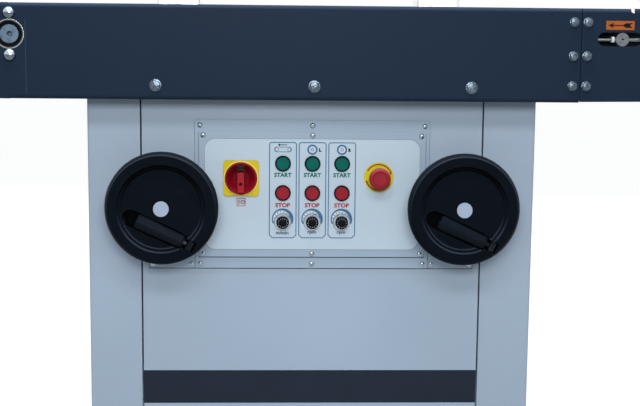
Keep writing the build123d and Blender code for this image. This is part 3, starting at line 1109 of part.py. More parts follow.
# Handwheels, each with a handle that folds into a pocket in the disc and a grip that turns on it
FOLD = Vector(cos(radians(FOLD_ANGLE)), 0, sin(radians(FOLD_ANGLE)))
PIN_DIR = Vector(-FOLD.Z, 0, FOLD.X)
GRIP_Y = FACE_Y - GRIP_OUT
RIM_FRONT_Y = FACE_Y - WHEEL_MID - RIM_HALF_T
RIM_BACK_Y = FACE_Y - WHEEL_MID + RIM_HALF_T
DISC_Y = FACE_Y - DISC_OUT
LEDGE_Y = FACE_Y - LEDGE_OUT
POCKET_HALF = GRIP_R_FREE + POCKET_GAP
POCKET_FLOOR_Y = GRIP_Y + POCKET_HALF
POCKET_BACK_Y = POCKET_FLOOR_Y + POCKET_WALL
GRIP_END = GRIP_START + GRIP_LENGTH
SCOOP_END = GRIP_END + SCOOP_LENGTH
NECK_NEAR = HANDLE_BLOCK_R + POCKET_GAP
NECK_FAR = GRIP_START + POCKET_HALF
MOUTH_NEAR = GRIP_START - POCKET_GAP
MOUTH_HALF = GRIP_R_PIVOT + POCKET_GAP
HUB_CAP_Y = FACE_Y - HUB_CAP_OUT
GEAR_OUTER_R = GEAR_PITCH_R - GEAR_GAP
GEAR_INNER_R = GEAR_OUTER_R - GEAR_FACE
GEAR_REACH = GEAR_PITCH_R + GEAR_HUB
for side, sign in SIDES:
    axis_x = sign * WHEEL_X
    pivot = Vector(
        axis_x + PIVOT_R * cos(radians(PIVOT_ANGLE)),
        GRIP_Y,
        WHEEL_Z + PIVOT_R * sin(radians(PIVOT_ANGLE)),
    )
    along = Plane(pivot, x_dir=FOLD, z_dir=TO_FRONT)

    with BuildPart() as handwheel:
        with BuildSketch(Plane((axis_x, 0, WHEEL_Z))):
            with BuildLine():
                rim_mid_y = FACE_Y - WHEEL_MID
                Polyline(
                    (SHAFT_R + SKIN_GAP, DISC_Y),
                    (DISC_R, DISC_Y),
                    (DISC_R + DISC_STEP, LEDGE_Y),
                    (RIM_INNER_R - RIM_STEP, LEDGE_Y),
                    (RIM_INNER_R, RIM_FRONT_Y),
                    (RIM_FLAT_R - RIM_EDGE, RIM_FRONT_Y),
                    (RIM_FLAT_R, RIM_FRONT_Y + RIM_EDGE),
                )
                ThreePointArc(
                    (RIM_FLAT_R, RIM_FRONT_Y + RIM_EDGE),
                    (WHEEL_R, rim_mid_y),
                    (RIM_FLAT_R, RIM_BACK_Y - RIM_EDGE),
                )
                Polyline(
                    (RIM_FLAT_R, RIM_BACK_Y - RIM_EDGE),
                    (RIM_FLAT_R - RIM_EDGE, RIM_BACK_Y),
                    (RIM_INNER_R, RIM_BACK_Y),
                    (DISC_R, DISC_Y + DISC_T),
                    (HUB_R, DISC_Y + DISC_T),
                    (HUB_R, FACE_Y - HUB_BACK),
                    (SHAFT_R + SKIN_GAP, FACE_Y - HUB_BACK),
                    (SHAFT_R + SKIN_GAP, DISC_Y),
                )
            make_face()
        revolve(axis=Axis((axis_x, 0, WHEEL_Z), TO_BACK))
        trough_length = SCOOP_END - GRIP_START
        trough_mid = (SCOOP_END + GRIP_START) / 2
        with BuildSketch(along.offset(GRIP_Y - POCKET_BACK_Y)):
            with Locations((trough_mid, 0)):
                SlotOverall(trough_length + 2 * (POCKET_GAP + POCKET_WALL), 2 * (POCKET_HALF + POCKET_WALL))
            with Locations(((MOUTH_NEAR - POCKET_WALL + NECK_FAR) / 2, 0)):
                Rectangle(NECK_FAR - MOUTH_NEAR + POCKET_WALL, 2 * (MOUTH_HALF + POCKET_WALL))
        extrude(amount=POCKET_BACK_Y - DISC_Y - DISC_T / 2)
        with BuildSketch(along.offset(GRIP_Y - POCKET_BACK_Y)):
            Rectangle(HANDLE_LUG_LENGTH, HANDLE_PIN_LENGTH + 2 * HANDLE_LUG_WALL)
        extrude(amount=POCKET_BACK_Y - RIM_FRONT_Y)
        with BuildSketch(along.offset(GRIP_Y - POCKET_FLOOR_Y)):
            with Locations((trough_mid, 0)):
                SlotOverall(trough_length + 2 * POCKET_GAP, 2 * POCKET_HALF)
            with Locations(((NECK_FAR - NECK_NEAR) / 2, 0)):
                Rectangle(NECK_NEAR + NECK_FAR, HANDLE_BLOCK_W + 2 * POCKET_GAP)
            with Locations(((MOUTH_NEAR + NECK_FAR) / 2, 0)):
                Rectangle(NECK_FAR - MOUTH_NEAR, 2 * MOUTH_HALF)
        extrude(amount=POCKET_FLOOR_Y - RIM_FRONT_Y, mode=Mode.SUBTRACT)
        pin_start = pivot - PIN_DIR * (HANDLE_PIN_LENGTH / 2)
        rod(pin_start, PIN_DIR, HANDLE_PIN_R + RUNNING_GAP, HANDLE_PIN_LENGTH, mode=Mode.SUBTRACT)
        hub_seat = (axis_x, DISC_Y, WHEEL_Z)
        rod(hub_seat, TO_BACK, HUB_CAP_R + SKIN_GAP, HUB_CAP_Y + HUB_CAP_T - DISC_Y, mode=Mode.SUBTRACT)
    write_step(handwheel, f"{side}_handwheel")

    with BuildPart() as handle:
        rod(pivot - PIN_DIR * (HANDLE_BLOCK_W / 2), PIN_DIR, HANDLE_BLOCK_R, HANDLE_BLOCK_W)
        rod(pivot - PIN_DIR * (HANDLE_PIN_LENGTH / 2), PIN_DIR, HANDLE_PIN_R, HANDLE_PIN_LENGTH)
        rod(pivot, FOLD, HANDLE_ROD_R, GRIP_END - HANDLE_HEAD_T)
        rod(pivot + FOLD * (GRIP_END - 2 * HANDLE_HEAD_T), FOLD, HANDLE_HEAD_R, HANDLE_HEAD_T)
    write_step(handle, f"{side}_handle")

    with BuildPart() as grip:
        with BuildSketch(along):
            with BuildLine():
                bore = HANDLE_ROD_R + RUNNING_GAP
                seat = GRIP_END - 2 * HANDLE_HEAD_T - SKIN_GAP
                Polyline(
                    (GRIP_START, bore),
                    (GRIP_START, GRIP_R_PIVOT - GRIP_ROUND),
                    (GRIP_START + GRIP_ROUND, GRIP_R_PIVOT),
                    (GRIP_END - GRIP_ROUND, GRIP_R_FREE),
                    (GRIP_END, GRIP_R_FREE - GRIP_ROUND),
                    (GRIP_END, HANDLE_HEAD_R + SKIN_GAP),
                    (seat, HANDLE_HEAD_R + SKIN_GAP),
                    (seat, bore),
                    close=True,
                )
            make_face()
        revolve(axis=Axis(pivot, FOLD))
    write_step(grip, f"{side}_grip")

    with BuildPart() as handwheel_shaft:
        cap_back_y = HUB_CAP_Y + HUB_CAP_T
        shaft = [(0, HUB_CAP_Y), (HUB_CAP_R, HUB_CAP_Y), (HUB_CAP_R, cap_back_y), (SHAFT_R, cap_back_y)]
        shaft += [(SHAFT_R, POST_Y - GEAR_REACH), (GEAR_OUTER_R, POST_Y - GEAR_REACH)]
        shaft += [(GEAR_OUTER_R, POST_Y - GEAR_PITCH_R), (GEAR_INNER_R, POST_Y - GEAR_PITCH_R + GEAR_FACE)]
        shaft += [(0, POST_Y - GEAR_PITCH_R + GEAR_FACE)]
        turn(shaft, axis_x, WHEEL_Z)
    write_step(handwheel_shaft, f"{side}_handwheel_shaft")

# Lift screws with their bevel gears, standing in the gearboxes
SCREW_TOP_Z = POST_BOTTOM_Z + NUT_PLATE_T + LIFT_UP + SCREW_SPARE
for side, sign in SIDES:
    with BuildPart() as lift_screw:
        gear_low_z = WHEEL_Z + GEAR_PITCH_R - GEAR_FACE
        outline = [(0, gear_low_z), (GEAR_INNER_R, gear_low_z), (GEAR_OUTER_R, WHEEL_Z + GEAR_PITCH_R)]
        outline += [(GEAR_OUTER_R, WHEEL_Z + GEAR_REACH), (SCREW_SHANK_R, WHEEL_Z + GEAR_REACH)]
        outline += [(SCREW_SHANK_R, SCREW_TOP_Z), (0, SCREW_TOP_Z)]
        turn_up(outline, sign * WHEEL_X, POST_Y)
    write_step(lift_screw, f"{side}_lift_screw")

# Lift gearboxes: hollow casting round the bevel gears, a shaft tube to the front panel and two hanger legs
BOX_TOP_Z = WHEEL_Z + LIFT_BOX_UP
LEG_OUT = POST_WIDTH / 2 + GUIDE_WALL
LEG_IN = POST_WIDTH / 2 + LEG_GAP
with BuildPart() as lift_gearboxes:
    for side, sign in SIDES:
        axis_x = sign * WHEEL_X
        low = (axis_x - LEG_OUT, POST_Y - LIFT_BOX_HALF, WHEEL_Z - LIFT_BOX_DOWN)
        block(low, (axis_x + LEG_OUT, POST_Y + LIFT_BOX_HALF, BOX_TOP_Z))
        inner = LIFT_BOX_HALF - LIFT_BOX_WALL
        hollow_low = (axis_x - inner, POST_Y - inner, WHEEL_Z - LIFT_BOX_DOWN + LIFT_BOX_WALL)
        block(hollow_low, (axis_x + inner, POST_Y + inner, BOX_TOP_Z - 2 * LIFT_BOX_WALL), mode=Mode.SUBTRACT)
        for leg in (-1, 1):
            leg_xs = sorted((axis_x + leg * LEG_IN, axis_x + leg * LEG_OUT))
            leg_low = (leg_xs[0], POST_Y - LIFT_BOX_HALF, BOX_TOP_Z)
            block(leg_low, (leg_xs[1], POST_Y + LIFT_BOX_HALF, GUIDE_BOTTOM_Z))
        tube_y = FACE_Y + CABINET_SHEET
        wall_y = POST_Y - LIFT_BOX_HALF
        rod((axis_x, tube_y, WHEEL_Z), TO_BACK, TUBE_R, wall_y - tube_y)
        bore_start = (axis_x, tube_y, WHEEL_Z)
        rod(bore_start, TO_BACK, SHAFT_R + RUNNING_GAP, wall_y + LIFT_BOX_WALL - tube_y, mode=Mode.SUBTRACT)
        relief_start = (axis_x, tube_y + TUBE_BUSH, WHEEL_Z)
        rod(relief_start, TO_BACK, TUBE_BORE_R, wall_y - TUBE_BUSH - tube_y, mode=Mode.SUBTRACT)
        screw_bore = (axis_x, POST_Y, BOX_TOP_Z - 2 * LIFT_BOX_WALL)
        rod(screw_bore, (0, 0, 1), SCREW_SHANK_R + RUNNING_GAP, 2 * LIFT_BOX_WALL, mode=Mode.SUBTRACT)
write_step(lift_gearboxes, "lift_gearboxes")

# Post guides: square sleeves flanged to the cabinet top
GUIDE_BORE = POST_WIDTH + 2 * RUNNING_GAP
with BuildPart() as post_guides:
    for side, sign in SIDES:
        with BuildSketch(Plane((sign * WHEEL_X, POST_Y, GUIDE_BOTTOM_Z))):
            Rectangle(GUIDE_OUTER, GUIDE_OUTER)
            RectangleRounded(GUIDE_BORE, GUIDE_BORE, POST_CORNER, mode=Mode.SUBTRACT)
        extrude(amount=GUIDE_DOWN + GUIDE_UP)
        with BuildSketch(Plane((sign * WHEEL_X, POST_Y, CABINET_TOP_Z))):
            Rectangle(GUIDE_FLANGE, GUIDE_OUTER)
            Rectangle(GUIDE_OUTER, GUIDE_OUTER, mode=Mode.SUBTRACT)
            with GridLocations(2 * GUIDE_BOLT_X, 2 * GUIDE_BOLT_Y, 2, 2):
                Circle(BOLT_HOLE_R, mode=Mode.SUBTRACT)
        extrude(amount=GUIDE_FLANGE_T)
write_step(post_guides, "post_guides")


# Brush heads
SPINDLE_BACK_Y = HOUSING_BACK_Y + SPINDLE_SOCKET
SHOULDER_Y = BRUSH_BACK_Y
HOOD_R = BRUSH_R + HOOD_CLEAR + HOOD_SHEET
HOOD_INNER_R = HOOD_R - HOOD_SHEET
HOOD_BOTTOM_Z = BRUSH_Z - HOOD_SKIRT
HOOD_TOP_Z = BRUSH_Z + HOOD_R
SPIGOT_Y = (BRUSH_Y + BRUSH_BACK_Y) / 2
SPIGOT_TOP_Z = HOOD_TOP_Z + SPIGOT_LENGTH
DOOR_Y = HOOD_Y - DOOR_GAP
DOOR_FRONT_Y = DOOR_Y - DOOR_T
HINGE_Y = DOOR_Y - DOOR_T / 2
KNUCKLE_Z = BRUSH_Z - HINGE_KNUCKLE / 2
STRAND_PITCH = BRUSH_LENGTH / STRANDS_IN_ROW
STRAND_LENGTH = BRUSH_R - BRUSH_BACKING_R + STRAND_ROOT
for side, sign in SIDES:
    axis_x = sign * WHEEL_X

    # Head arm: lift post with its threaded foot, and the spindle housing across its top
    with BuildPart() as head_arm:
        with BuildSketch(Plane((axis_x, POST_Y, POST_BOTTOM_Z))):
            RectangleRounded(POST_WIDTH, POST_WIDTH, POST_CORNER)
        extrude(amount=BRUSH_Z - POST_BOTTOM_Z)
        with BuildSketch(Plane((axis_x, POST_Y, POST_BOTTOM_Z + NUT_PLATE_T))):
            Rectangle(POST_WIDTH - 2 * POST_WALL, POST_WIDTH - 2 * POST_WALL)
        extrude(amount=BRUSH_Z - POST_BOTTOM_Z - NUT_PLATE_T, mode=Mode.SUBTRACT)
        neck_y = HOUSING_FRONT_Y + HOUSING_FLANGE_T
        neck_back_y = HOUSING_BACK_Y - HOUSING_FLANGE_T
        housing = [(0, HOUSING_FRONT_Y), (HOUSING_FLANGE_R, HOUSING_FRONT_Y), (HOUSING_FLANGE_R, neck_y)]
        housing += [(HOUSING_R, neck_y), (HOUSING_R, neck_back_y), (MOTOR_FLANGE_R, neck_back_y)]
        housing += [(MOTOR_FLANGE_R, HOUSING_BACK_Y), (0, HOUSING_BACK_Y)]
        turn(housing, axis_x, BRUSH_Z)
        spindle_bore = SPINDLE_R + RUNNING_GAP
        housing_start = (axis_x, HOUSING_FRONT_Y, BRUSH_Z)
        rod(housing_start, TO_BACK, spindle_bore, HOUSING_BACK_Y - HOUSING_FRONT_Y, mode=Mode.SUBTRACT)
        cavity_start = (axis_x, HOUSING_FRONT_Y + HOUSING_BEARING, BRUSH_Z)
        cavity_length = HOUSING_BACK_Y - HOUSING_FRONT_Y - 2 * HOUSING_BEARING
        rod(cavity_start, TO_BACK, HOUSING_BORE_R, cavity_length, mode=Mode.SUBTRACT)
        nut_start = (axis_x, POST_Y, POST_BOTTOM_Z)
        rod(nut_start, (0, 0, 1), SCREW_SHANK_R + RUNNING_GAP, NUT_PLATE_T, mode=Mode.SUBTRACT)
    write_step(head_arm, f"{side}_head_arm")

    # Brush motor, flanged to the back of the housing, with a socket for the spindle's tail
    with BuildPart() as brush_motor:
        motor_seat = Plane((axis_x, HOUSING_BACK_Y, BRUSH_Z), x_dir=(1, 0, 0), z_dir=TO_BACK)
        finned_motor(motor_seat, MOTOR_CORE_R, MOTOR_R, MOTOR_FLANGE_R, MOTOR_LENGTH)
        socket_start = (axis_x, HOUSING_BACK_Y, BRUSH_Z)
        rod(socket_start, TO_BACK, SPINDLE_R + SKIN_GAP, SPINDLE_SOCKET + SKIN_GAP, mode=Mode.SUBTRACT)
    write_step(brush_motor, f"{side}_brush_motor")

    # Hood: arched sheet over the brush with a back wall, a dust spigot on a saddle collar, and two hinge
    # knuckles with their pin
    with BuildPart() as brush_hood:
        collar_start = (axis_x, SPIGOT_Y, BRUSH_Z + BRUSH_R)
        collar_top_z = HOOD_TOP_Z + SPIGOT_COLLAR_T
        rod(collar_start, (0, 0, 1), SPIGOT_COLLAR_R, collar_top_z - collar_start[2])
        for radius, back_y, mode in (
            (HOOD_R, HOUSING_FRONT_Y, Mode.ADD),
            (HOOD_INNER_R, HOUSING_FRONT_Y - HOOD_SHEET, Mode.SUBTRACT),
        ):
            with BuildSketch(front_plane(back_y)):
                with Locations((axis_x, BRUSH_Z)):
                    Circle(radius)
                with Locations((axis_x, (HOOD_BOTTOM_Z + BRUSH_Z) / 2)):
                    Rectangle(2 * radius, BRUSH_Z - HOOD_BOTTOM_Z)
                with Locations((axis_x, HOOD_BOTTOM_Z - radius / 2)):
                    Rectangle(2 * radius, radius, mode=Mode.SUBTRACT)
            extrude(amount=back_y - HOOD_Y, mode=mode)
        spindle_hole = (axis_x, HOUSING_FRONT_Y - HOOD_SHEET, BRUSH_Z)
        rod(spindle_hole, TO_BACK, SPINDLE_R + HOOD_HOLE_GAP, HOOD_SHEET, mode=Mode.SUBTRACT)
        rod((axis_x, SPIGOT_Y, collar_top_z), (0, 0, 1), SPIGOT_R, SPIGOT_TOP_Z - collar_top_z)
        duct_start = (axis_x, SPIGOT_Y, BRUSH_Z)
        rod(duct_start, (0, 0, 1), SPIGOT_R - SPIGOT_WALL, SPIGOT_TOP_Z - BRUSH_Z, mode=Mode.SUBTRACT)
        hinge_x = axis_x + sign * (HOOD_R + HINGE_OUT)
        for start_z in (KNUCKLE_Z - HINGE_KNUCKLE, KNUCKLE_Z + HINGE_KNUCKLE):
            rod((hinge_x, HINGE_Y, start_z), (0, 0, 1), HINGE_R, HINGE_KNUCKLE - SKIN_GAP)
            leaf_xs = sorted((axis_x + sign * HOOD_R, hinge_x))
            leaf_low = (leaf_xs[0], HINGE_Y, start_z)
            block(leaf_low, (leaf_xs[1], HOOD_Y + HINGE_LEAF, start_z + HINGE_KNUCKLE - SKIN_GAP))
        pin_start = (hinge_x, HINGE_Y, KNUCKLE_Z - HINGE_KNUCKLE)
        rod(pin_start, (0, 0, 1), HINGE_PIN_R, 3 * HINGE_KNUCKLE - SKIN_GAP)
    write_step(brush_hood, f"{side}_brush_hood")

    # Hood door: plate over the hood's front, swinging on the pin by its middle knuckle, with a pull knob
    with BuildPart() as hood_door:
        with BuildSketch(front_plane(DOOR_Y)):
            with Locations((axis_x, BRUSH_Z)):
                Circle(HOOD_R)
            with Locations((axis_x, (HOOD_BOTTOM_Z + BRUSH_Z) / 2)):
                Rectangle(2 * HOOD_R, BRUSH_Z - HOOD_BOTTOM_Z)
            with Locations((axis_x, HOOD_BOTTOM_Z - HOOD_R / 2)):
                Rectangle(2 * HOOD_R, HOOD_R, mode=Mode.SUBTRACT)
        extrude(amount=DOOR_T)
        knuckle_start = (hinge_x, HINGE_Y, KNUCKLE_Z + SKIN_GAP)
        knuckle_length = HINGE_KNUCKLE - 2 * SKIN_GAP
        for start_z in (KNUCKLE_Z - HINGE_KNUCKLE, KNUCKLE_Z + HINGE_KNUCKLE):
            relief_start = (hinge_x, HINGE_Y, start_z - SKIN_GAP)
            rod(relief_start, (0, 0, 1), HINGE_R + 2 * SKIN_GAP, HINGE_KNUCKLE + SKIN_GAP, mode=Mode.SUBTRACT)
        rod(knuckle_start, (0, 0, 1), HINGE_R, knuckle_length)
        strap_xs = sorted((hinge_x, axis_x + sign * (HOOD_R - HINGE_STRAP)))
        strap_low = (strap_xs[0], DOOR_FRONT_Y, knuckle_start[2])
        block(strap_low, (strap_xs[1], DOOR_Y, knuckle_start[2] + knuckle_length))
        rod(knuckle_start, (0, 0, 1), HINGE_PIN_R + RUNNING_GAP, knuckle_length, mode=Mode.SUBTRACT)
        knob_start = (axis_x - sign * (HOOD_R - DOOR_KNOB_INSET), DOOR_FRONT_Y, BRUSH_Z)
        rod(knob_start, TO_FRONT, DOOR_NECK_R, DOOR_NECK_LENGTH)
        knob_head = (knob_start[0], DOOR_FRONT_Y - DOOR_NECK_LENGTH, BRUSH_Z)
        rod(knob_head, TO_FRONT, DOOR_KNOB_R, DOOR_KNOB_T)
    write_step(hood_door, f"{side}_hood_door")

    # Spindle: turned shaft with the brush's rear shoulder, and the clamp nut at its front end
    with BuildPart() as brush_spindle:
        spindle = [(0, BRUSH_Y), (SPINDLE_R, BRUSH_Y), (SPINDLE_R, SHOULDER_Y), (SHOULDER_R, SHOULDER_Y)]
        spindle += [(SHOULDER_R, SHOULDER_Y + SHOULDER_T), (SPINDLE_R, SHOULDER_Y + SHOULDER_T)]
        spindle += [(SPINDLE_R, SPINDLE_BACK_Y), (0, SPINDLE_BACK_Y)]
        turn(spindle, axis_x, BRUSH_Z)
        with BuildSketch(front_plane(BRUSH_Y)):
            with Locations((axis_x, BRUSH_Z)):
                RegularPolygon(CLAMP_NUT_R, 6)
        extrude(amount=CLAMP_NUT_T)
    write_step(brush_spindle, f"{side}_brush_spindle")

    # Bristle roller: backing drum with end discs and rows of stiff strands, every other row shifted
    with BuildPart() as brush_roller:
        bore = SPINDLE_R + SKIN_GAP
        drum = [(bore, BRUSH_Y), (BRUSH_BACKING_R, BRUSH_Y)]
        drum += [(BRUSH_BACKING_R, BRUSH_BACK_Y), (bore, BRUSH_BACK_Y)]
        turn(drum, axis_x, BRUSH_Z)
        inner = BRUSH_BACKING_R - BRUSH_BACKING_T
        hollow = [(bore, BRUSH_Y + BRUSH_DISC), (inner, BRUSH_Y + BRUSH_DISC)]
        hollow += [(inner, BRUSH_BACK_Y - BRUSH_DISC), (bore, BRUSH_BACK_Y - BRUSH_DISC)]
        turn(hollow, axis_x, BRUSH_Z, mode=Mode.SUBTRACT)
        roots = []
        for row in range(STRAND_ROWS):
            angle = 360 * row / STRAND_ROWS
            outward = Vector(cos(radians(angle)), 0, sin(radians(angle)))
            first_y = BRUSH_Y + STRAND_PITCH / 2 + (STRAND_STAGGER if row % 2 else -STRAND_STAGGER)
            for number in range(STRANDS_IN_ROW):
                root_y = first_y + STRAND_PITCH * number
                root = Vector(axis_x, root_y, BRUSH_Z) + outward * (BRUSH_BACKING_R - STRAND_ROOT)
                roots.append(Plane(root, x_dir=TO_BACK, z_dir=outward))
        with Locations(*roots):
            Box(STRAND_WIDTH, STRAND_WIDTH, STRAND_LENGTH, align=UPRIGHT)
    write_step(brush_roller, f"{side}_brush_roller")

print("brush axis height", BRUSH_Z, "overall height", SPIGOT_TOP_Z, "cabinet face", FACE_Y)
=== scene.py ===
import math
import random

import bmesh
import bpy
from mathutils import Matrix, Vector


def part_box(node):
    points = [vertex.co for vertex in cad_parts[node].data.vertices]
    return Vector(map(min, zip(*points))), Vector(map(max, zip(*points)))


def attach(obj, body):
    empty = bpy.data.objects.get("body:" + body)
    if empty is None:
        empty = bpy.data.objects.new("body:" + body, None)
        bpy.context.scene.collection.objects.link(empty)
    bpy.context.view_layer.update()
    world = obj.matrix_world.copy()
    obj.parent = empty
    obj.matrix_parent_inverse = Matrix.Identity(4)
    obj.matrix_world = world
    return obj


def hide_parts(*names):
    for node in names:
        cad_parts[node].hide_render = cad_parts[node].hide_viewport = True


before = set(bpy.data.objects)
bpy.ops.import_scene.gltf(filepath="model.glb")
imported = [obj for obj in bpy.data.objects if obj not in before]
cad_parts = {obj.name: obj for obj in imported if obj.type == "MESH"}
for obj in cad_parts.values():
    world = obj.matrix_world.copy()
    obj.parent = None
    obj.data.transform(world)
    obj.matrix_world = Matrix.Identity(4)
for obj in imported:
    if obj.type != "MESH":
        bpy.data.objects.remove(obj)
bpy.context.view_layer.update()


# Base frame: a ring of welded steel angle inside the foot of the cabinet, sprayed dark grey.
# It stands on four levelling feet, zinc-plated studs with lock nuts in pads with a black rubber sole.
def finish(name, colour, shade, rough, patches, grain, relief,
           metallic=0.0, edge=0.0, lay=(1, 1, 1), gleam=0.5):
    """A finish whose tint and gloss wander over soft patches, with a fine grain standing in relief."""
    material = bpy.data.materials.new(name)
    material.use_nodes = True
    nodes = material.node_tree.nodes
    links = material.node_tree.links
    shader = nodes["Principled BSDF"]
    shader.inputs["Metallic"].default_value = metallic
    shader.inputs["Specular IOR Level"].default_value = gleam
    where = nodes.new("ShaderNodeTexCoord")
    drawn = nodes.new("ShaderNodeMapping")
    drawn.inputs["Scale"].default_value = lay
    links.new(where.outputs["Object"], drawn.inputs["Vector"])
    cloud = nodes.new("ShaderNodeTexNoise")
    cloud.inputs["Scale"].default_value = patches
    cloud.inputs["Detail"].default_value = 5
    links.new(drawn.outputs["Vector"], cloud.inputs["Vector"])
    tint = nodes.new("ShaderNodeValToRGB")
    tint.color_ramp.elements[0].position = 0.32
    tint.color_ramp.elements[0].color = (*shade, 1)
    tint.color_ramp.elements[1].position = 0.68
    tint.color_ramp.elements[1].color = (*colour, 1)
    links.new(cloud.outputs["Fac"], tint.inputs["Fac"])
    links.new(tint.outputs["Color"], shader.inputs["Base Color"])
    gloss = nodes.new("ShaderNodeMapRange")
    gloss.inputs["From Min"].default_value = 0.3
    gloss.inputs["From Max"].default_value = 0.7
    gloss.inputs["To Min"].default_value = rough[0]
    gloss.inputs["To Max"].default_value = rough[1]
    links.new(cloud.outputs["Fac"], gloss.inputs["Value"])
    links.new(gloss.outputs["Result"], shader.inputs["Roughness"])
    fine = nodes.new("ShaderNodeTexNoise")
    fine.inputs["Scale"].default_value = grain
    fine.inputs["Detail"].default_value = 2
    links.new(drawn.outputs["Vector"], fine.inputs["Vector"])
    bump = nodes.new("ShaderNodeBump")
    bump.inputs["Strength"].default_value = 0.5
    bump.inputs["Distance"].default_value = relief
    links.new(fine.outputs["Fac"], bump.inputs["Height"])
    if edge:
        soft = nodes.new("ShaderNodeBevel")
        soft.samples = 4
        soft.inputs["Radius"].default_value = edge
        links.new(soft.outputs["Normal"], bump.inputs["Normal"])
    links.new(bump.outputs["Normal"], shader.inputs["Normal"])
    return material


def patch(material, colour, rough, metallic=0.0, spans=(), ring=None, fade=None):
    """Another finish where the piece lies between two planes on each named axis, or inside a ring of radii.

    A fade brings the finish in from nothing at its first height to full strength at its second.
    """
    nodes = material.node_tree.nodes
    links = material.node_tree.links
    shader = nodes["Principled BSDF"]
    where = nodes.new("ShaderNodeTexCoord")
    apart = nodes.new("ShaderNodeSeparateXYZ")
    links.new(where.outputs["Object"], apart.inputs["Vector"])
    measures = [(apart.outputs[axis], low, high) for axis, low, high in spans]
    if ring:
        x, z, inner, outer = ring
        centred = nodes.new("ShaderNodeMapping")
        centred.inputs["Location"].default_value = (-x, 0, -z)
        centred.inputs["Scale"].default_value = (1, 0, 1)
        links.new(where.outputs["Object"], centred.inputs["Vector"])
        radius = nodes.new("ShaderNodeVectorMath")
        radius.operation = "LENGTH"
        links.new(centred.outputs["Vector"], radius.inputs[0])
        measures.append((radius.outputs["Value"], inner, outer))
    strengths = []
    for measure, low, high in measures:
        inside = nodes.new("ShaderNodeMath")
        inside.operation = "COMPARE"
        links.new(measure, inside.inputs[0])
        inside.inputs[1].default_value = (low + high) / 2
        inside.inputs[2].default_value = (high - low) / 2
        strengths.append(inside.outputs["Value"])
    if fade:
        rising = nodes.new("ShaderNodeMapRange")
        links.new(apart.outputs["Z"], rising.inputs["Value"])
        rising.inputs["From Min"].default_value, rising.inputs["From Max"].default_value = fade
        strengths.append(rising.outputs["Result"])
    mask = strengths[0]
    for strength in strengths[1:]:
        both = nodes.new("ShaderNodeMath")
        both.operation = "MULTIPLY"
        links.new(mask, both.inputs[0])
        links.new(strength, both.inputs[1])
        mask = both.outputs["Value"]
    for socket, kind, value in (
        ("Base Color", "RGBA", (*colour, 1)),
        ("Roughness", "FLOAT", rough),
        ("Metallic", "FLOAT", metallic),
    ):
        target = shader.inputs[socket]
        if not target.links and target.default_value == value:
            continue
        mix = nodes.new("ShaderNodeMix")
        mix.data_type = kind
        first, second, result = (6, 7, 2) if kind == "RGBA" else (2, 3, 0)
        links.new(mask, mix.inputs[0])
        if target.links:
            links.new(target.links[0].from_socket, mix.inputs[first])
        else:
            mix.inputs[first].default_value = target.default_value
        mix.inputs[second].default_value = value
        links.new(mix.outputs[result], target)


def dress(material, *names):
    """Gives CAD nodes their finish."""
    for name in names:
        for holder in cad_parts[name].material_slots:
            holder.material = material


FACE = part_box("front_panel")[0].y
frame_paint = finish("frame_paint", (0.052, 0.062, 0.074), (0.04, 0.048, 0.058), (0.45, 0.6), 9, 700,
                     0.0003, edge=0.0008, gleam=0.3)
dress(frame_paint, "base_frame", "bed_frame", "control_box")
foot_zinc = finish("foot_zinc", (0.5, 0.53, 0.56), (0.38, 0.4, 0.43), (0.25, 0.4), 60, 1500, 0.0001,
                   metallic=1.0, edge=0.0006)
patch(foot_zinc, (0.012, 0.012, 0.013), 0.75, spans=(("Z", -0.01, 0.0061),))
dress(foot_zinc, "levelling_feet")


# Cabinet: two side panels folded round the front corners, a front panel between them, a rear panel and a
# top plate, all of steel sheet with a satin grey-blue powder coat and its faint orange peel.
CABINET_BLUE = (0.322, 0.412, 0.522)
CABINET_SHADE = (0.305, 0.392, 0.5)
cabinet_paint = finish("cabinet_paint", CABINET_BLUE, CABINET_SHADE, (0.38, 0.48), 5, 620, 0.00022,
                       edge=0.0012)
dress(cabinet_paint, "side_panels", "front_panel", "rear_panel", "top_plate")


# Louvres over the rear slots: blisters pressed out of the rear sheet, open along their lower edge, in the
# same coat as the panel. The cable gland under them is black nylon.
def stand(name, shape, material, body, sharp=35):
    """Turns a shape into a piece on a body: doubles merged, faces outward, smooth up to an angle."""
    bmesh.ops.remove_doubles(shape, verts=shape.verts, dist=1e-6)
    bmesh.ops.recalc_face_normals(shape, faces=shape.faces)
    mesh = bpy.data.meshes.new(name)
    shape.to_mesh(mesh)
    shape.free()
    mesh.materials.append(material)
    mesh.shade_smooth()
    mesh.set_sharp_from_angle(angle=math.radians(sharp))
    piece = bpy.data.objects.new(name, mesh)
    bpy.context.scene.collection.objects.link(piece)
    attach(piece, body)
    return piece


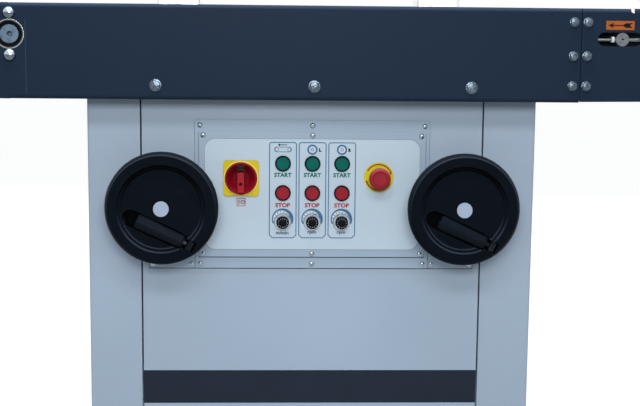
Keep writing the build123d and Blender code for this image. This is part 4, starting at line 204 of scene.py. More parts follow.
REAR_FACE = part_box("rear_panel")[1].y
REAR_MIDDLE = (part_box("rear_panel")[0].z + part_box("rear_panel")[1].z) / 2
LOUVRE_ROWS = 8
LOUVRE_PITCH = 0.022
LOUVRE_HALF_SIZE = (0.069, 0.008, 0.013)
louvres = bmesh.new()
for column in (-0.19675, 0.19675):
    for row in range(LOUVRE_ROWS):
        slot_z = REAR_MIDDLE + (row - (LOUVRE_ROWS - 1) / 2) * LOUVRE_PITCH
        blister = bmesh.new()
        bmesh.ops.create_uvsphere(blister, u_segments=24, v_segments=12, radius=1)
        for cut_away in ((0, -1, 0), (0, 0, -1)):
            bmesh.ops.bisect_plane(blister, geom=blister.verts[:] + blister.edges[:] + blister.faces[:],
                                   plane_co=(0, 0, 0), plane_no=cut_away, clear_outer=True)
        bmesh.ops.scale(blister, vec=LOUVRE_HALF_SIZE, verts=blister.verts)
        bmesh.ops.solidify(blister, geom=blister.faces[:], thickness=0.001)
        bmesh.ops.translate(blister, vec=(column, REAR_FACE, slot_z - 0.0035), verts=blister.verts)
        pressed = bpy.data.meshes.new("pressed")
        blister.to_mesh(pressed)
        blister.free()
        louvres.from_mesh(pressed)
        bpy.data.meshes.remove(pressed)
stand("rear_louvres", louvres, cabinet_paint, "frame", 50)

gland_nylon = finish("gland_nylon", (0.014, 0.015, 0.017), (0.01, 0.011, 0.012), (0.4, 0.55), 40, 1400,
                     0.0001, edge=0.0004, gleam=0.25)
dress(gland_nylon, "cable_gland")


# Stripe low on the front panel: a plain dark vinyl film stuck across it from seam to seam.
def cut_sheet(name, outlines, back, thick, material, body="frame"):
    """A flat piece of film or ink cut to closed outlines of (x, z), holes among them, its back at a depth."""
    drawing = bpy.data.curves.new(name, "CURVE")
    drawing.dimensions = "2D"
    drawing.fill_mode = "BOTH"
    drawing.extrude = thick / 2
    for outline in outlines:
        line = drawing.splines.new("POLY")
        line.points.add(len(outline) - 1)
        for point, (x, z) in zip(line.points, outline):
            point.co = (x, z, 0, 1)
        line.use_cyclic_u = True
    return lay_flat(name, drawing, Matrix.Translation((0, 0, 0)), back, thick, material, body)


def lay_flat(name, drawing, shift, back, thick, material, body):
    """Makes a flat curve or a word a mesh, turns it upright, and puts its back at a depth."""
    holder = bpy.data.objects.new(name, drawing)
    bpy.context.scene.collection.objects.link(holder)
    bpy.context.view_layer.update()
    mesh = bpy.data.meshes.new_from_object(holder.evaluated_get(bpy.context.evaluated_depsgraph_get()))
    bpy.data.objects.remove(holder)
    upright = Matrix(((1, 0, 0, 0), (0, 0, -1, back - thick / 2), (0, 1, 0, 0), (0, 0, 0, 1)))
    mesh.transform(upright @ shift)
    mesh.materials.clear()
    mesh.materials.append(material)
    mesh.name = name
    piece = bpy.data.objects.new(name, mesh)
    bpy.context.scene.collection.objects.link(piece)
    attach(piece, body)
    return piece


def box_line(left, right, low, high, corner=0.0, steps=8):
    """Closed outline of a rectangle, its corners rounded."""
    if not corner:
        return [(left, low), (right, low), (right, high), (left, high)]
    middles = ((right - corner, low + corner, -90), (right - corner, high - corner, 0))
    middles += ((left + corner, high - corner, 90), (left + corner, low + corner, 180))
    turns = [(x, z, math.radians(start + 90 * i / steps))
             for x, z, start in middles for i in range(steps + 1)]
    return [(x + corner * math.cos(a), z + corner * math.sin(a)) for x, z, a in turns]


stripe_film = finish("stripe_film", (0.0195, 0.027, 0.043), (0.0175, 0.0245, 0.039), (0.4, 0.5), 12, 900,
                     0.00006, gleam=0.05)
STRIPE_LOW = 0.1515
STRIPE_HIGH = 0.2155
panel_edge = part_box("front_panel")[1].x
band = box_line(-panel_edge, panel_edge, STRIPE_LOW, STRIPE_HIGH)
cut_sheet("dark_stripe", [band], FACE, 0.0002, stripe_film)


# Conveyor rails: a bent steel channel along the front, an angle along the back and the bolted infeed end
# plates, all in dark slate powder coat, with a painted highlight, paler towards the top, along the front
# bend. A faint paler vertical line is painted on the web near the drive end.
RAIL_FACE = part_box("front_rail")[0].y
RAIL_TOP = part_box("front_rail")[1].z
rail_paint = finish("rail_paint", (0.0124, 0.0236, 0.044), (0.0114, 0.0222, 0.0418), (0.34, 0.44), 4, 560,
                    0.0003, edge=0.0016, gleam=0.03)
# Painted highlight along the front bend, fading in towards the top edge.
patch(rail_paint, (0.034, 0.055, 0.098), 0.4, spans=(("Y", RAIL_FACE - 0.001, RAIL_FACE + 0.0075),),
      fade=(RAIL_TOP - 0.0074, RAIL_TOP - 0.0028))
# A faint paler vertical line is painted on the web near the drive end.
patch(rail_paint, (0.032, 0.046, 0.07), 0.5, spans=(("X", -0.5118, -0.5105), ("Z", 0.74, 0.87)))
dress(rail_paint, "front_rail", "rear_rail", "infeed_end_plates")


# Feed arrow on the infeed end plate: a small orange sign plate, stuck on, with a black printed arrow
# that points the way the belt carries the work.
sign_orange = finish("sign_orange", (0.37, 0.1, 0.02), (0.335, 0.09, 0.017), (0.35, 0.5), 50, 900,
                     0.00005, gleam=0.1)
SIGN_T = 0.0008
plate = box_line(0.5225, 0.5736, 0.8622, 0.8781, 0.0008, 3)
cut_sheet("feed_sign", [plate], RAIL_FACE, SIGN_T, sign_orange)
sign_ink = finish("sign_ink", (0.008, 0.008, 0.01), (0.006, 0.006, 0.008), (0.4, 0.55), 90, 1500, 0.00003,
                  gleam=0.05)
ARROW_Z = 0.87015
arrow = [(0.5262, 0), (0.5358, 0.0044), (0.5347, 0.0009), (0.5528, 0.0009), (0.558, 0.004), (0.5702, 0.0044)]
arrow += [(0.5662, 0.001)]
arrow += [(0.5655, 0)] + [(x, -z) for x, z in reversed(arrow[1:])]
cut_sheet("feed_arrow", [[(x, ARROW_Z + z) for x, z in arrow]], RAIL_FACE - SIGN_T, 0.0002, sign_ink)


# Belt, its rollers and their bearings. The belt is woven polyester with a ribbed rubber face; the drive drum
# is rubber-lagged on a ground shaft, the idler is a steel tube on a plain shaft with tension rods.
belt_rubber = finish("belt_rubber", (0.03, 0.036, 0.032), (0.021, 0.026, 0.023), (0.6, 0.8), 30, 380,
                     0.0008, gleam=0.12)
dress(belt_rubber, "conveyor_belt")
DRIVE_X = (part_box("drive_roller")[0].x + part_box("drive_roller")[1].x) / 2
ROLLER_Z = (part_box("drive_roller")[0].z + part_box("drive_roller")[1].z) / 2
shaft_steel = finish("shaft_steel", (0.092, 0.132, 0.179), (0.066, 0.096, 0.134), (0.36, 0.48), 120, 1800,
                     0.00006, metallic=1.0, edge=0.0004)
patch(shaft_steel, (0.015, 0.016, 0.017), 0.75, spans=(("Y", FACE - 0.036, FACE + 0.28),))
dress(shaft_steel, "drive_roller")
idler_steel = finish("idler_steel", (0.13, 0.142, 0.158), (0.1, 0.11, 0.122), (0.4, 0.55), 160, 1800,
                     0.0001, metallic=1.0, edge=0.0004)
patch(idler_steel, (0.8, 0.84, 0.87), 0.35, spans=(("X", 0.532, 0.5414),))
dress(idler_steel, "idler_shaft")
tube_steel = finish("tube_steel", (0.42, 0.44, 0.46), (0.34, 0.36, 0.38), (0.3, 0.45), 60, 1500, 0.0001,
                    metallic=1.0, edge=0.0005, lay=(1, 0.05, 1), gleam=0.04)
# The idler tube's front end is painted near-black: painted shade behind the slot in the front rail.
patch(tube_steel, (0.012, 0.013, 0.015), 0.6, spans=(("Y", FACE - 0.04, FACE - 0.033),))
dress(tube_steel, "idler_roller")
bright_zinc = finish("bright_zinc", (0.26, 0.3, 0.31), (0.2, 0.23, 0.24), (0.2, 0.32), 90, 1600, 0.00008,
                     metallic=1.0, edge=0.0004)
dress(bright_zinc, "tension_screws")
bearing_iron = finish("bearing_iron", (0.1, 0.11, 0.125), (0.075, 0.083, 0.095), (0.5, 0.65), 60, 500,
                      0.0004, edge=0.0005)
patch(bearing_iron, (0.01, 0.011, 0.013), 0.5, ring=(DRIVE_X, ROLLER_Z, 0.0225, 0.0251))
patch(bearing_iron, (0.5, 0.54, 0.58), 0.22, 1.0, spans=(("Y", FACE - 0.0745, FACE - 0.0715),),
      ring=(DRIVE_X, ROLLER_Z, 0.0251, 0.0265))
dress(bearing_iron, "drive_bearings")


# Seals in the noses of the drive bearings: black rubber lips pressed in round the shaft.
def turned(shape, outline, centre, axis, steps=48):
    """Spins an outline of (radius, distance along the axis) once round the axis through a centre."""
    along = Vector(axis)
    side = Vector((1, 0, 0))
    points = [shape.verts.new(Vector(centre) + side * radius + along * reach) for radius, reach in outline]
    lines = [shape.edges.new(pair) for pair in zip(points, points[1:])]
    bmesh.ops.spin(shape, geom=points + lines, cent=centre, axis=axis, angle=math.tau, steps=steps,
                   use_merge=True, use_duplicate=False)


seal_rubber = finish("seal_rubber", (0.0035, 0.004, 0.005), (0.0025, 0.003, 0.0038), (0.45, 0.6), 80, 900,
                     0.0001, gleam=0.02)
seals = bmesh.new()
for nose_y, outward in ((FACE - 0.073, -1), (FACE + 0.307, 1)):
    lip = [(0.0177, -0.0019), (0.0177, -0.0008), (0.0185, -0.0004), (0.0205, -0.0011), (0.0222, -0.0006)]
    lip += [(0.0229, -0.001), (0.0229, -0.0019), (0.0177, -0.0019)]
    turned(seals, lip, (DRIVE_X, nose_y, ROLLER_Z), (0, outward, 0))
stand("bearing_seals", seals, seal_rubber, "frame", 50)


# Bolts of the conveyor and of the post guides: zinc-plated hexagon heads with turned chamfers on washers.
# The drive bearings have polished dome heads.
WASHER_T = 0.002


def hexagon_head(shape, seat, outward, washer=0.011, radius=0.0092, height=0.0064):
    """A hexagon bolt head with a chamfered crown, on its washer, standing out from a seat."""
    turn = Vector((0, 0, 1)).rotation_difference(Vector(outward)).to_matrix().to_4x4()
    place = Matrix.Translation(seat) @ turn
    ring = bmesh.ops.create_cone(shape, cap_ends=True, segments=32, radius1=washer, radius2=washer,
                                 depth=WASHER_T, matrix=place @ Matrix.Translation((0, 0, WASHER_T / 2)))
    rim = {edge for vert in ring["verts"] for edge in vert.link_edges
           if len({round((place.inverted() @ v.co).z, 5) for v in edge.verts}) == 1
           and (place.inverted() @ edge.verts[0].co).z > WASHER_T / 2}
    bmesh.ops.bevel(shape, geom=list(rim), offset=0.0004, affect="EDGES", segments=2, profile=0.5,
                    material=-1)
    crown = bmesh.new()
    bmesh.ops.create_cone(crown, cap_ends=True, segments=6, radius1=radius, radius2=radius, depth=height,
                          matrix=Matrix.Translation((0, 0, WASHER_T + height / 2)))
    tips = [edge for edge in crown.edges if all(v.co.z > WASHER_T + height / 2 for v in edge.verts)]
    bmesh.ops.bevel(crown, geom=tips, offset=0.0011, affect="EDGES", segments=2, profile=0.5, material=-1)
    flanks = [edge for edge in crown.edges if abs(edge.verts[0].co.z - edge.verts[1].co.z) > height / 2]
    bmesh.ops.bevel(crown, geom=flanks, offset=0.0004, affect="EDGES", segments=1, profile=0.5, material=-1)
    bmesh.ops.transform(crown, matrix=place, verts=crown.verts)
    head = bpy.data.meshes.new("head")
    crown.to_mesh(head)
    crown.free()
    shape.from_mesh(head)
    bpy.data.meshes.remove(head)


bolt_zinc = finish("bolt_zinc", (0.12, 0.154, 0.194), (0.04, 0.054, 0.07), (0.2, 0.34), 260, 420, 0.001,
                   metallic=1.0)
heads = bmesh.new()
REAR_RAIL_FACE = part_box("rear_rail")[1].y
rail_places = [(x, 0.7566) for x in (-0.283, 0.0, 0.283)]
rail_places += [(x, z) for x in (0.4651, 0.4899) for z in (0.8756, 0.815, 0.7613)]
for x, z in rail_places:
    washer, radius = (0.0087, 0.0081) if x > 0.4 else (0.011, 0.0092)
    hexagon_head(heads, (x, RAIL_FACE, z), (0, -1, 0), washer, radius)
    hexagon_head(heads, (x, REAR_RAIL_FACE, z), (0, 1, 0), washer, radius)
GUIDE_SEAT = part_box("top_plate")[1].z + 0.014
POST_Y = (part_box("post_guides")[0].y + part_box("post_guides")[1].y) / 2
POST_XS = (-0.2738, 0.2738)
for post_x in POST_XS:
    for side_x in (-0.071, 0.071):
        for side_y in (-0.04, 0.04):
            hexagon_head(heads, (post_x + side_x, POST_Y + side_y, GUIDE_SEAT), (0, 0, 1))
bolts = stand("hexagon_bolts", heads, bolt_zinc, "frame", 30)
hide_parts("rail_bolts")

polished = finish("polished_dome", (0.115, 0.14, 0.17), (0.09, 0.11, 0.135), (0.14, 0.22), 60, 1500,
                  0.00004, metallic=1.0)
domes = bmesh.new()
dome_line = [(0.0, 0.0078), (0.003, 0.00755), (0.0057, 0.0067), (0.0081, 0.0053), (0.0098, 0.0036)]
dome_line += [(0.0108, 0.0017), (0.0111, 0.0)]
DOME_ROWS = (ROLLER_Z + 0.037, ROLLER_Z - 0.037)
for face_y, outward in ((RAIL_FACE, -1), (REAR_RAIL_FACE, 1)):
    for bolt_z in DOME_ROWS:
        turned(domes, dome_line, (DRIVE_X, face_y, bolt_z), (0, outward, 0), 32)
# The upper half of each dome is painted paler and bluer as a painted reflection, fading in just above its
# middle.
for bolt_z in DOME_ROWS:
    patch(polished, (0.49, 0.615, 0.75), 0.16, 1.0, spans=(("Z", bolt_z - 0.002, bolt_z + 0.012),),
          fade=(bolt_z - 0.0005, bolt_z + 0.0028))
dome_bolts = stand("bearing_dome_bolts", domes, polished, "frame", 60)
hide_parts("rail_bolts")


# Feed gearmotor behind the drive end and the two brush motors: gearbox and ribbed housings of cast
# aluminium, sprayed blue-grey.
motor_paint = finish("motor_paint", (0.105, 0.145, 0.2), (0.085, 0.12, 0.168), (0.4, 0.55), 25, 480,
                     0.0005, edge=0.0008)
dress(motor_paint, "feed_gearmotor", "left_brush_motor", "right_brush_motor")


# Plates on the front panel: a wide plate round the controls, a plate behind each handwheel and the switch
# panel, laser-cut sheet in the cabinet's coat but a shade darker, held by small domed cross-head screws.
plate_paint = finish("plate_paint", (0.298, 0.395, 0.505), (0.285, 0.38, 0.488), (0.3, 0.4), 7, 620,
                     0.00015, edge=0.0009)
dress(plate_paint, "panel_plates", "switch_panel")
PANEL_Z = 0.584
PLATE_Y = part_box("panel_plates")[0].y
SWITCH_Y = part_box("switch_panel")[0].y
screw_zinc = finish("screw_zinc", (0.3, 0.35, 0.4), (0.17, 0.2, 0.235), (0.18, 0.3), 420, 1600, 0.00008,
                    metallic=1.0)
# Near-black for the painted shade in the screws' cross recesses.
cross_recess_shade = finish("screw_cross_shade", (0.03, 0.032, 0.036), (0.02, 0.022, 0.025), (0.5, 0.65), 220, 1600,
                    0.00005)
plate_rows = (PANEL_Z - 0.1627, PANEL_Z + 0.0978)
switch_rows = (PANEL_Z - 0.1427, PANEL_Z + 0.0795)
screw_seats = [(x, PLATE_Y, z) for x in (-0.209, 0.0, 0.209) for z in plate_rows]
screw_seats += [(x, PLATE_Y, plate_rows[0]) for x in (-0.2975, -0.2252, 0.2252, 0.2975)]
screw_seats += [(x, SWITCH_Y, z) for x in (-0.203, 0.0, 0.203) for z in switch_rows]
screws = bmesh.new()
crosses = []
for number, (x, y, z) in enumerate(screw_seats):
    pan = [(0, 0.0025), (0.0014, 0.00245), (0.0029, 0.0021), (0.0042, 0.0014), (0.005, 0.0006), (0.005, 0)]
    turned(screws, pan, (x, y, z), (0, -1, 0), 24)
    lean = math.radians(number * 37 % 90)
    for quarter in (0, 1):
        bar = [(-0.0019, -0.00035), (0.0019, -0.00035), (0.0019, 0.00035), (-0.0019, 0.00035)]
        angle = lean + quarter * math.pi / 2
        crosses.append((y, [(x + a * math.cos(angle) - b * math.sin(angle),
                             z + a * math.sin(angle) + b * math.cos(angle)) for a, b in bar]))
heads_on_panel = stand("panel_screw_heads", screws, screw_zinc, "frame", 50)
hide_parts("panel_screws")
# The cross recesses are not cut: a near-black cross laid on each screw head is painted shade for the recess.
for name, seat_y in (("plate_screw_cross_shades", PLATE_Y), ("switch_screw_cross_shades", SWITCH_Y)):
    for turn in (0, 1):
        bars = [bar for (y, bar) in crosses if y == seat_y][turn::2]
        cut_sheet(f"{name}_{turn}", bars, seat_y - 0.0019, 0.0006 + 0.00002 * turn, cross_recess_shade)


# Painted shadow round the plates: thin near-black strips along their sides and lower edges, and a line
# in the seams between them, stand in for the shade at the plates' edges.
plate_edge_shade = finish("plate_edge_shade", (0.02, 0.022, 0.026), (0.015, 0.017, 0.02), (0.5, 0.65), 60, 900, 0.0001,
                 gleam=0.1)
OUTER_LOW = PANEL_Z - 0.1704
SIDE_HIGH = PANEL_Z + 0.025
SWITCH_LOW = PANEL_Z - 0.1485


def shade_strip_line(half, low, high, below=0.0015, beside=0.0006):
    """Outline of a painted shadow strip along the lower edge and both sides of a plate."""
    outer = half + beside
    return [(-outer, high), (-outer, low - below), (outer, low - below), (outer, high),
            (half, high), (half, low), (-half, low), (-half, high)]


edge_shade_strips = [shade_strip_line(0.304, OUTER_LOW, SIDE_HIGH)]
edge_shade_strips += [box_line(x, x + 0.0005, SIDE_HIGH + 0.0005, PANEL_Z + 0.106) for x in (-0.2188, 0.2183)]
cut_sheet("plate_edge_shade_strips", edge_shade_strips, FACE, 0.0012, plate_edge_shade)
seam_shades = [box_line(x, x + 0.0007, OUTER_LOW, SIDE_HIGH) for x in (-0.2189, 0.2182)]
cut_sheet("seam_shade_lines", seam_shades, PLATE_Y, 0.0002, plate_edge_shade)
cut_sheet("switch_panel_edge_shade", [shade_strip_line(0.211, SWITCH_LOW, PANEL_Z + 0.085)], PLATE_Y, 0.0012, plate_edge_shade)


# Overlay on the switch panel: a printed polyester film with a fine satin texture, stuck on, with openings
# for the controls.
def round_line(x, z, radius, steps=40):
    """Closed outline of a circle."""
    turns = [math.tau * i / steps for i in range(steps)]
    return [(x + radius * math.cos(a), z + radius * math.sin(a)) for a in turns]


COLUMNS = (-0.055, 0.0, 0.055)
START_Z = PANEL_Z + 0.0275
STOP_Z = PANEL_Z - 0.0275
KNOB_RIM = 0.0158
KNOB_Z = (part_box("feed_speed_knob")[0].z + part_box("feed_speed_knob")[1].z) / 2
ISOLATOR_X = (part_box("isolator_knob")[0].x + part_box("isolator_knob")[1].x) / 2
ESTOP_X = (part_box("estop_head")[0].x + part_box("estop_head")[1].x) / 2
ESTOP_Z = (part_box("estop_head")[0].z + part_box("estop_head")[1].z) / 2
film = finish("overlay_film", (0.455, 0.57, 0.67), (0.448, 0.562, 0.662), (0.34, 0.4), 9, 1300, 0.00004)
openings = [round_line(x, z, 0.0149) for x in COLUMNS for z in (START_Z, STOP_Z)]
openings += [round_line(x, KNOB_Z, 0.0156) for x in COLUMNS]
openings += [round_line(ESTOP_X, ESTOP_Z, 0.0277)]
openings += [box_line(ISOLATOR_X - 0.0331, ISOLATOR_X + 0.0331, PANEL_Z - 0.0331, PANEL_Z + 0.0331, 0.006)]
film_edge = box_line(-0.2, 0.2, PANEL_Z - 0.134, PANEL_Z + 0.073, 0.02, 12)
FILM_T = 0.0005
cut_sheet("overlay_film", [film_edge] + openings, SWITCH_Y, FILM_T, film)
# A near-black band round the film's edge is painted shadow along that edge; the same dark ink rings the knob
# skirts.
rim_shadow_ink = finish("rim_shadow_ink", (0.16, 0.2, 0.24), (0.14, 0.175, 0.21), (0.4, 0.5), 40, 1300, 0.00004,
                  gleam=0.1)
border = box_line(-0.2006, 0.2006, PANEL_Z - 0.1346, PANEL_Z + 0.0736, 0.0206, 12)
cut_sheet("overlay_edge_shadow", [border, film_edge], SWITCH_Y, 0.0004, rim_shadow_ink)
FILM_Y = SWITCH_Y - FILM_T
INK = 0.00006


# Printing on the overlay in blue-grey ink: a frame round each column of controls, the belt and brush signs,
# and the swelling scale round each speed knob.
ink_blue = finish("ink_blue", (0.06, 0.16, 0.3), (0.052, 0.142, 0.272), (0.3, 0.42), 60, 1300, 0.00003,
                  gleam=0.08)


def frame_line(x, inset):
    """Column frame: rounded at the top, its lower corners cut at 45 degrees."""
    half = 0.0258 - inset
    low = PANEL_Z - 0.113 + inset
    high = PANEL_Z + 0.0675 - inset
    corner = 0.005 - inset
    cut = 0.006 - inset * 0.6
    turns = [math.radians(90 * i / 6) for i in range(7)]
    right = [(x + half - corner + corner * math.cos(a), high - corner + corner * math.sin(a)) for a in turns]
    left = [(2 * x - a, b) for a, b in reversed(right)]
    foot = [(x - half, low + cut), (x - half + cut, low), (x + half - cut, low), (x + half, low + cut)]
    return right + left + foot


DIAL_Z = KNOB_Z + 0.0052
DIAL_LEFT = 0.0022
SCALE_R = 0.0202
lines = []
for x in COLUMNS:
    lines += [frame_line(x, 0), frame_line(x, 0.0018)]
    swell = []
    for first, last, radius, z in ((205, -25, SCALE_R, DIAL_Z), (-14, 194, KNOB_RIM, KNOB_Z)):
        for step in range(41):
            a = math.radians(first + step * (last - first) / 40)
            swell.append((x + radius * math.cos(a), z + radius * math.sin(a)))
    lines.append(swell)
SIGN_Z = PANEL_Z + 0.0536
lines += [box_line(-0.0714, -0.0386, SIGN_Z - 0.005, SIGN_Z + 0.005, 0.0049),
          box_line(-0.0702, -0.0398, SIGN_Z - 0.0038, SIGN_Z + 0.0038, 0.0037)]
BELT_SIGN_ROLLERS = (-0.0665, -0.0435)
for x in BELT_SIGN_ROLLERS:
    lines += [round_line(x, SIGN_Z, 0.0033, 24), round_line(x, SIGN_Z, 0.0023, 24)]
for x in COLUMNS[1:]:
    lines += [round_line(x - 0.0004, SIGN_Z, 0.0096), round_line(x - 0.0004, SIGN_Z, 0.0064)]
    lines += [round_line(x - 0.0004, SIGN_Z, 0.0031, 20), round_line(x - 0.0004, SIGN_Z, 0.0019, 20)]
cut_sheet("blue_printing", lines, FILM_Y, INK, ink_blue)
ink_white = finish("ink_white", (0.55, 0.64, 0.72), (0.53, 0.615, 0.695), (0.3, 0.42), 60, 1300, 0.00003)
pale = [round_line(x - 0.0004, SIGN_Z, 0.0064) for x in COLUMNS[1:]]
pale += [round_line(x - 0.0004, SIGN_Z, radius, 20) for x in COLUMNS[1:] for radius in (0.0031, 0.0019)]
pale += [round_line(x, SIGN_Z, 0.0023, 24) for x in BELT_SIGN_ROLLERS]
cut_sheet("white_printing", pale, FILM_Y, INK, ink_white)


def bitten(whole, bite):
    """Outline of a disc (x, z, radius) less what a second disc bites out of it."""
    lean = math.atan2(bite[1] - whole[1], bite[0] - whole[0])
    turns = [lean + math.tau * i / 90 for i in range(90)]
    rims = [[(x + radius * math.cos(a), z + radius * math.sin(a)) for a in turns]
            for x, z, radius in (whole, bite)]
    outer = [point for point in rims[0] if math.dist(point, bite[:2]) > bite[2]]
    return outer + [point for point in reversed(rims[1]) if math.dist(point, whole[:2]) < whole[2]]


grounds = [bitten((x - DIAL_LEFT, DIAL_Z + 0.0006, 0.0156), (x, KNOB_Z, KNOB_RIM)) for x in COLUMNS]
cut_sheet("scale_grounds", grounds, FILM_Y, INK * 1.3, ink_white)
# Near-black rings round each knob's skirt are painted shadow.
rims = [round_line(x, KNOB_Z, radius) for x in COLUMNS for radius in (KNOB_RIM, 0.0165)]
cut_sheet("knob_skirt_shadows", rims, FILM_Y, INK * 1.9, rim_shadow_ink)


# Words, dial ticks and small marks on the overlay, screen-printed in green, red and black.
def word(name, text, x, z, height, width, material, bold=0.045):
    """A printed word centred on a point, set to a height and a width."""
    drawing = bpy.data.curves.new(name, "FONT")
    drawing.body = text
    drawing.size = 1
    drawing.resolution_u = 3
    drawing.offset = bold
    holder = bpy.data.objects.new(name, drawing)
    bpy.context.scene.collection.objects.link(holder)
    bpy.context.view_layer.update()
    corners = [Vector(c) for c in holder.bound_box]
    bpy.data.objects.remove(holder)
    low = Vector((min(c.x for c in corners), min(c.y for c in corners), 0))
    high = Vector((max(c.x for c in corners), max(c.y for c in corners), 0))
    across, up = width / (high.x - low.x), height / (high.y - low.y)
    drawing.extrude = INK / 2
    centred = Matrix.Translation(-(low + high) / 2)
    fit = Matrix.Translation((x, z, 0)) @ Matrix.Diagonal((across, up, 1, 1)) @ centred
    return lay_flat(name, drawing, fit, FILM_Y, INK, material, "frame")


ink_green = finish("ink_green", (0.003, 0.16, 0.12), (0.0025, 0.135, 0.1), (0.3, 0.42), 60, 1300, 0.00003,
                   gleam=0.05)
ink_red = finish("ink_red", (0.36, 0.026, 0.035), (0.31, 0.021, 0.029), (0.3, 0.42), 60, 1300, 0.00003,
                 gleam=0.05)
ink_black = finish("ink_black", (0.016, 0.02, 0.026), (0.012, 0.016, 0.02), (0.3, 0.42), 60, 1300,
                   0.00003, gleam=0.05)
for column, x in zip(("feed", "left", "right"), COLUMNS):
    word(f"{column}_start_word", "START", x, PANEL_Z + 0.0061, 0.0083, 0.0325, ink_green)
    word(f"{column}_stop_word", "STOP", x, PANEL_Z - 0.0506, 0.0083, 0.0278, ink_red)
    unit, unit_width = ("m/min", 0.0235) if column == "feed" else ("rpm", 0.0155)
    word(f"{column}_unit", unit, x - 0.0006, KNOB_Z - 0.0208, 0.0062, unit_width, ink_black, 0.02)
    ticks = []
    for number in range(7):
        a = math.radians(172 - number * 25)
        across = Vector((-math.sin(a), math.cos(a))) * 0.0006
        out = Vector((math.cos(a), math.sin(a)))
        near = Vector((x - DIAL_LEFT, DIAL_Z)) + out * 0.0125
        far = Vector((x - DIAL_LEFT, DIAL_Z)) + out * 0.0149
        ticks.append([tuple(near - across), tuple(far - across), tuple(far + across), tuple(near + across)])
    cut_sheet(f"{column}_scale_ticks", ticks, FILM_Y, INK * 1.7, ink_black)
word("left_mark", "L", 0.0139, SIGN_Z - 0.0006, 0.0066, 0.0046, ink_black, 0.1)
word("right_mark", "R", 0.069, SIGN_Z - 0.0006, 0.0066, 0.0054, ink_black, 0.1)
marks = [round_line(-0.0615, PANEL_Z + 0.0622, 0.0021, 16)]
marks += [box_line(-0.0593, -0.047, PANEL_Z + 0.0615, PANEL_Z + 0.0629)]
cut_sheet("black_marks", marks, FILM_Y, INK, ink_black)
MARK_Z = PANEL_Z - 0.0452
mark = [box_line(ISOLATOR_X - half, ISOLATOR_X + half, MARK_Z - rise, MARK_Z + rise)
        for half, rise in ((0.0082, 0.0076), (0.0071, 0.0065))]
mark += [box_line(ISOLATOR_X - 0.0048, ISOLATOR_X - 0.0032, MARK_Z - 0.0044, MARK_Z + 0.0044)]
mark += [round_line(ISOLATOR_X + 0.0032, MARK_Z, radius, 24) for radius in (0.004, 0.0024)]
cut_sheet("isolator_mark", mark, FILM_Y, INK, ink_red)


# Main isolator: moulded yellow backplate with a raised rim, a dished red dial with a bar grip, and a grey
# padlock tab with two eyes. The emergency stop's ring is the same moulding stock.
yellow = finish("yellow_moulding", (0.67, 0.53, 0.0135), (0.63, 0.495, 0.0115), (0.3, 0.42), 40, 1100,
                0.00008, edge=0.0005, gleam=0.1)
# The raised rim round the dial is painted a paler yellow as a painted highlight.
patch(yellow, (0.86, 0.78, 0.14), 0.3, spans=(("Y", FACE - 0.03, FACE - 0.0115),),
      ring=(ISOLATOR_X, PANEL_Z, 0.0301, 0.0328))
patch(yellow, (0.62, 0.55, 0.016), 0.4, spans=(("X", 0.05, 0.25),))
patch(yellow, (0.02, 0.021, 0.024), 0.5, spans=(("Y", FACE - 0.0215, FACE - 0.0087),),
      ring=(ESTOP_X, ESTOP_Z, 0, 0.0155))
dress(yellow, "yellow_backplates")
red_dial = finish("red_dial", (0.24, 0.003, 0.011), (0.215, 0.0024, 0.0095), (0.22, 0.32), 50, 1100,
                  0.00006, edge=0.0005, gleam=0.06)
# The dish is painted darker towards its top as painted shade, and the dial's outer rim a brighter red as a
# painted highlight.
patch(red_dial, (0.055, 0.0006, 0.003), 0.35, ring=(ISOLATOR_X, PANEL_Z, 0.0, 0.0272),
      fade=(PANEL_Z - 0.02, PANEL_Z + 0.026))
patch(red_dial, (0.33, 0.01, 0.024), 0.3, ring=(ISOLATOR_X, PANEL_Z, 0.0272, 0.0305))
patch(red_dial, (0.34, 0.016, 0.025), 0.4, spans=(("Y", FACE - 0.04, FACE - 0.0205),))
patch(red_dial, (0.03, 0.022, 0.024), 0.45,
      spans=(("X", ISOLATOR_X - 0.0063, ISOLATOR_X + 0.0063), ("Z", PANEL_Z + 0.0145, PANEL_Z + 0.0251)))
dress(red_dial, "isolator_knob")
padlock_eye_shade = finish("padlock_eye_shade", (0.006, 0.006, 0.007), (0.004, 0.004, 0.005), (0.5, 0.6), 90, 1300,
                   0.00004, gleam=0.05)
# Near-black discs on the tab stand for its two eyes as painted shade.
eyes = [round_line(ISOLATOR_X + side, PANEL_Z + 0.0198, 0.0021, 20) for side in (-0.0033, 0.0033)]
cut_sheet("padlock_eye_shades", eyes, FACE - 0.0193, 0.0001, padlock_eye_shade, "isolator_knob")


# Push buttons and speed knobs: moulded caps in black anodised bezels, and fluted black knobs with an inset
# cap on satin aluminium skirts.
green_cap = finish("green_cap", (0.0045, 0.128, 0.106), (0.004, 0.115, 0.095), (0.3, 0.4), 70, 1300,
                   0.00005, edge=0.0006, gleam=0.04)
red_cap = finish("red_cap", (0.305, 0.0235, 0.035), (0.275, 0.0205, 0.031), (0.3, 0.4), 70, 1300, 0.00005,
                 edge=0.0006, gleam=0.04)
for column in ("feed", "left_brush", "right_brush"):
    dress(green_cap, f"{column}_start_button")
    dress(red_cap, f"{column}_stop_button")
bezels = finish("bezel_aluminium", (0.44, 0.49, 0.54), (0.38, 0.42, 0.47), (0.24, 0.34), 120, 1500,
                0.00006, metallic=1.0, edge=0.0004, gleam=0.08)
patch(bezels, (0.006, 0.008, 0.013), 0.38, spans=(("Z", PANEL_Z - 0.05, PANEL_Z + 0.05),))
dress(bezels, "control_bezels")
knob_black = finish("knob_black", (0.0036, 0.0048, 0.0074), (0.003, 0.004, 0.0062), (0.32, 0.45), 90,
                    1200, 0.0001, edge=0.0003, gleam=0.04)
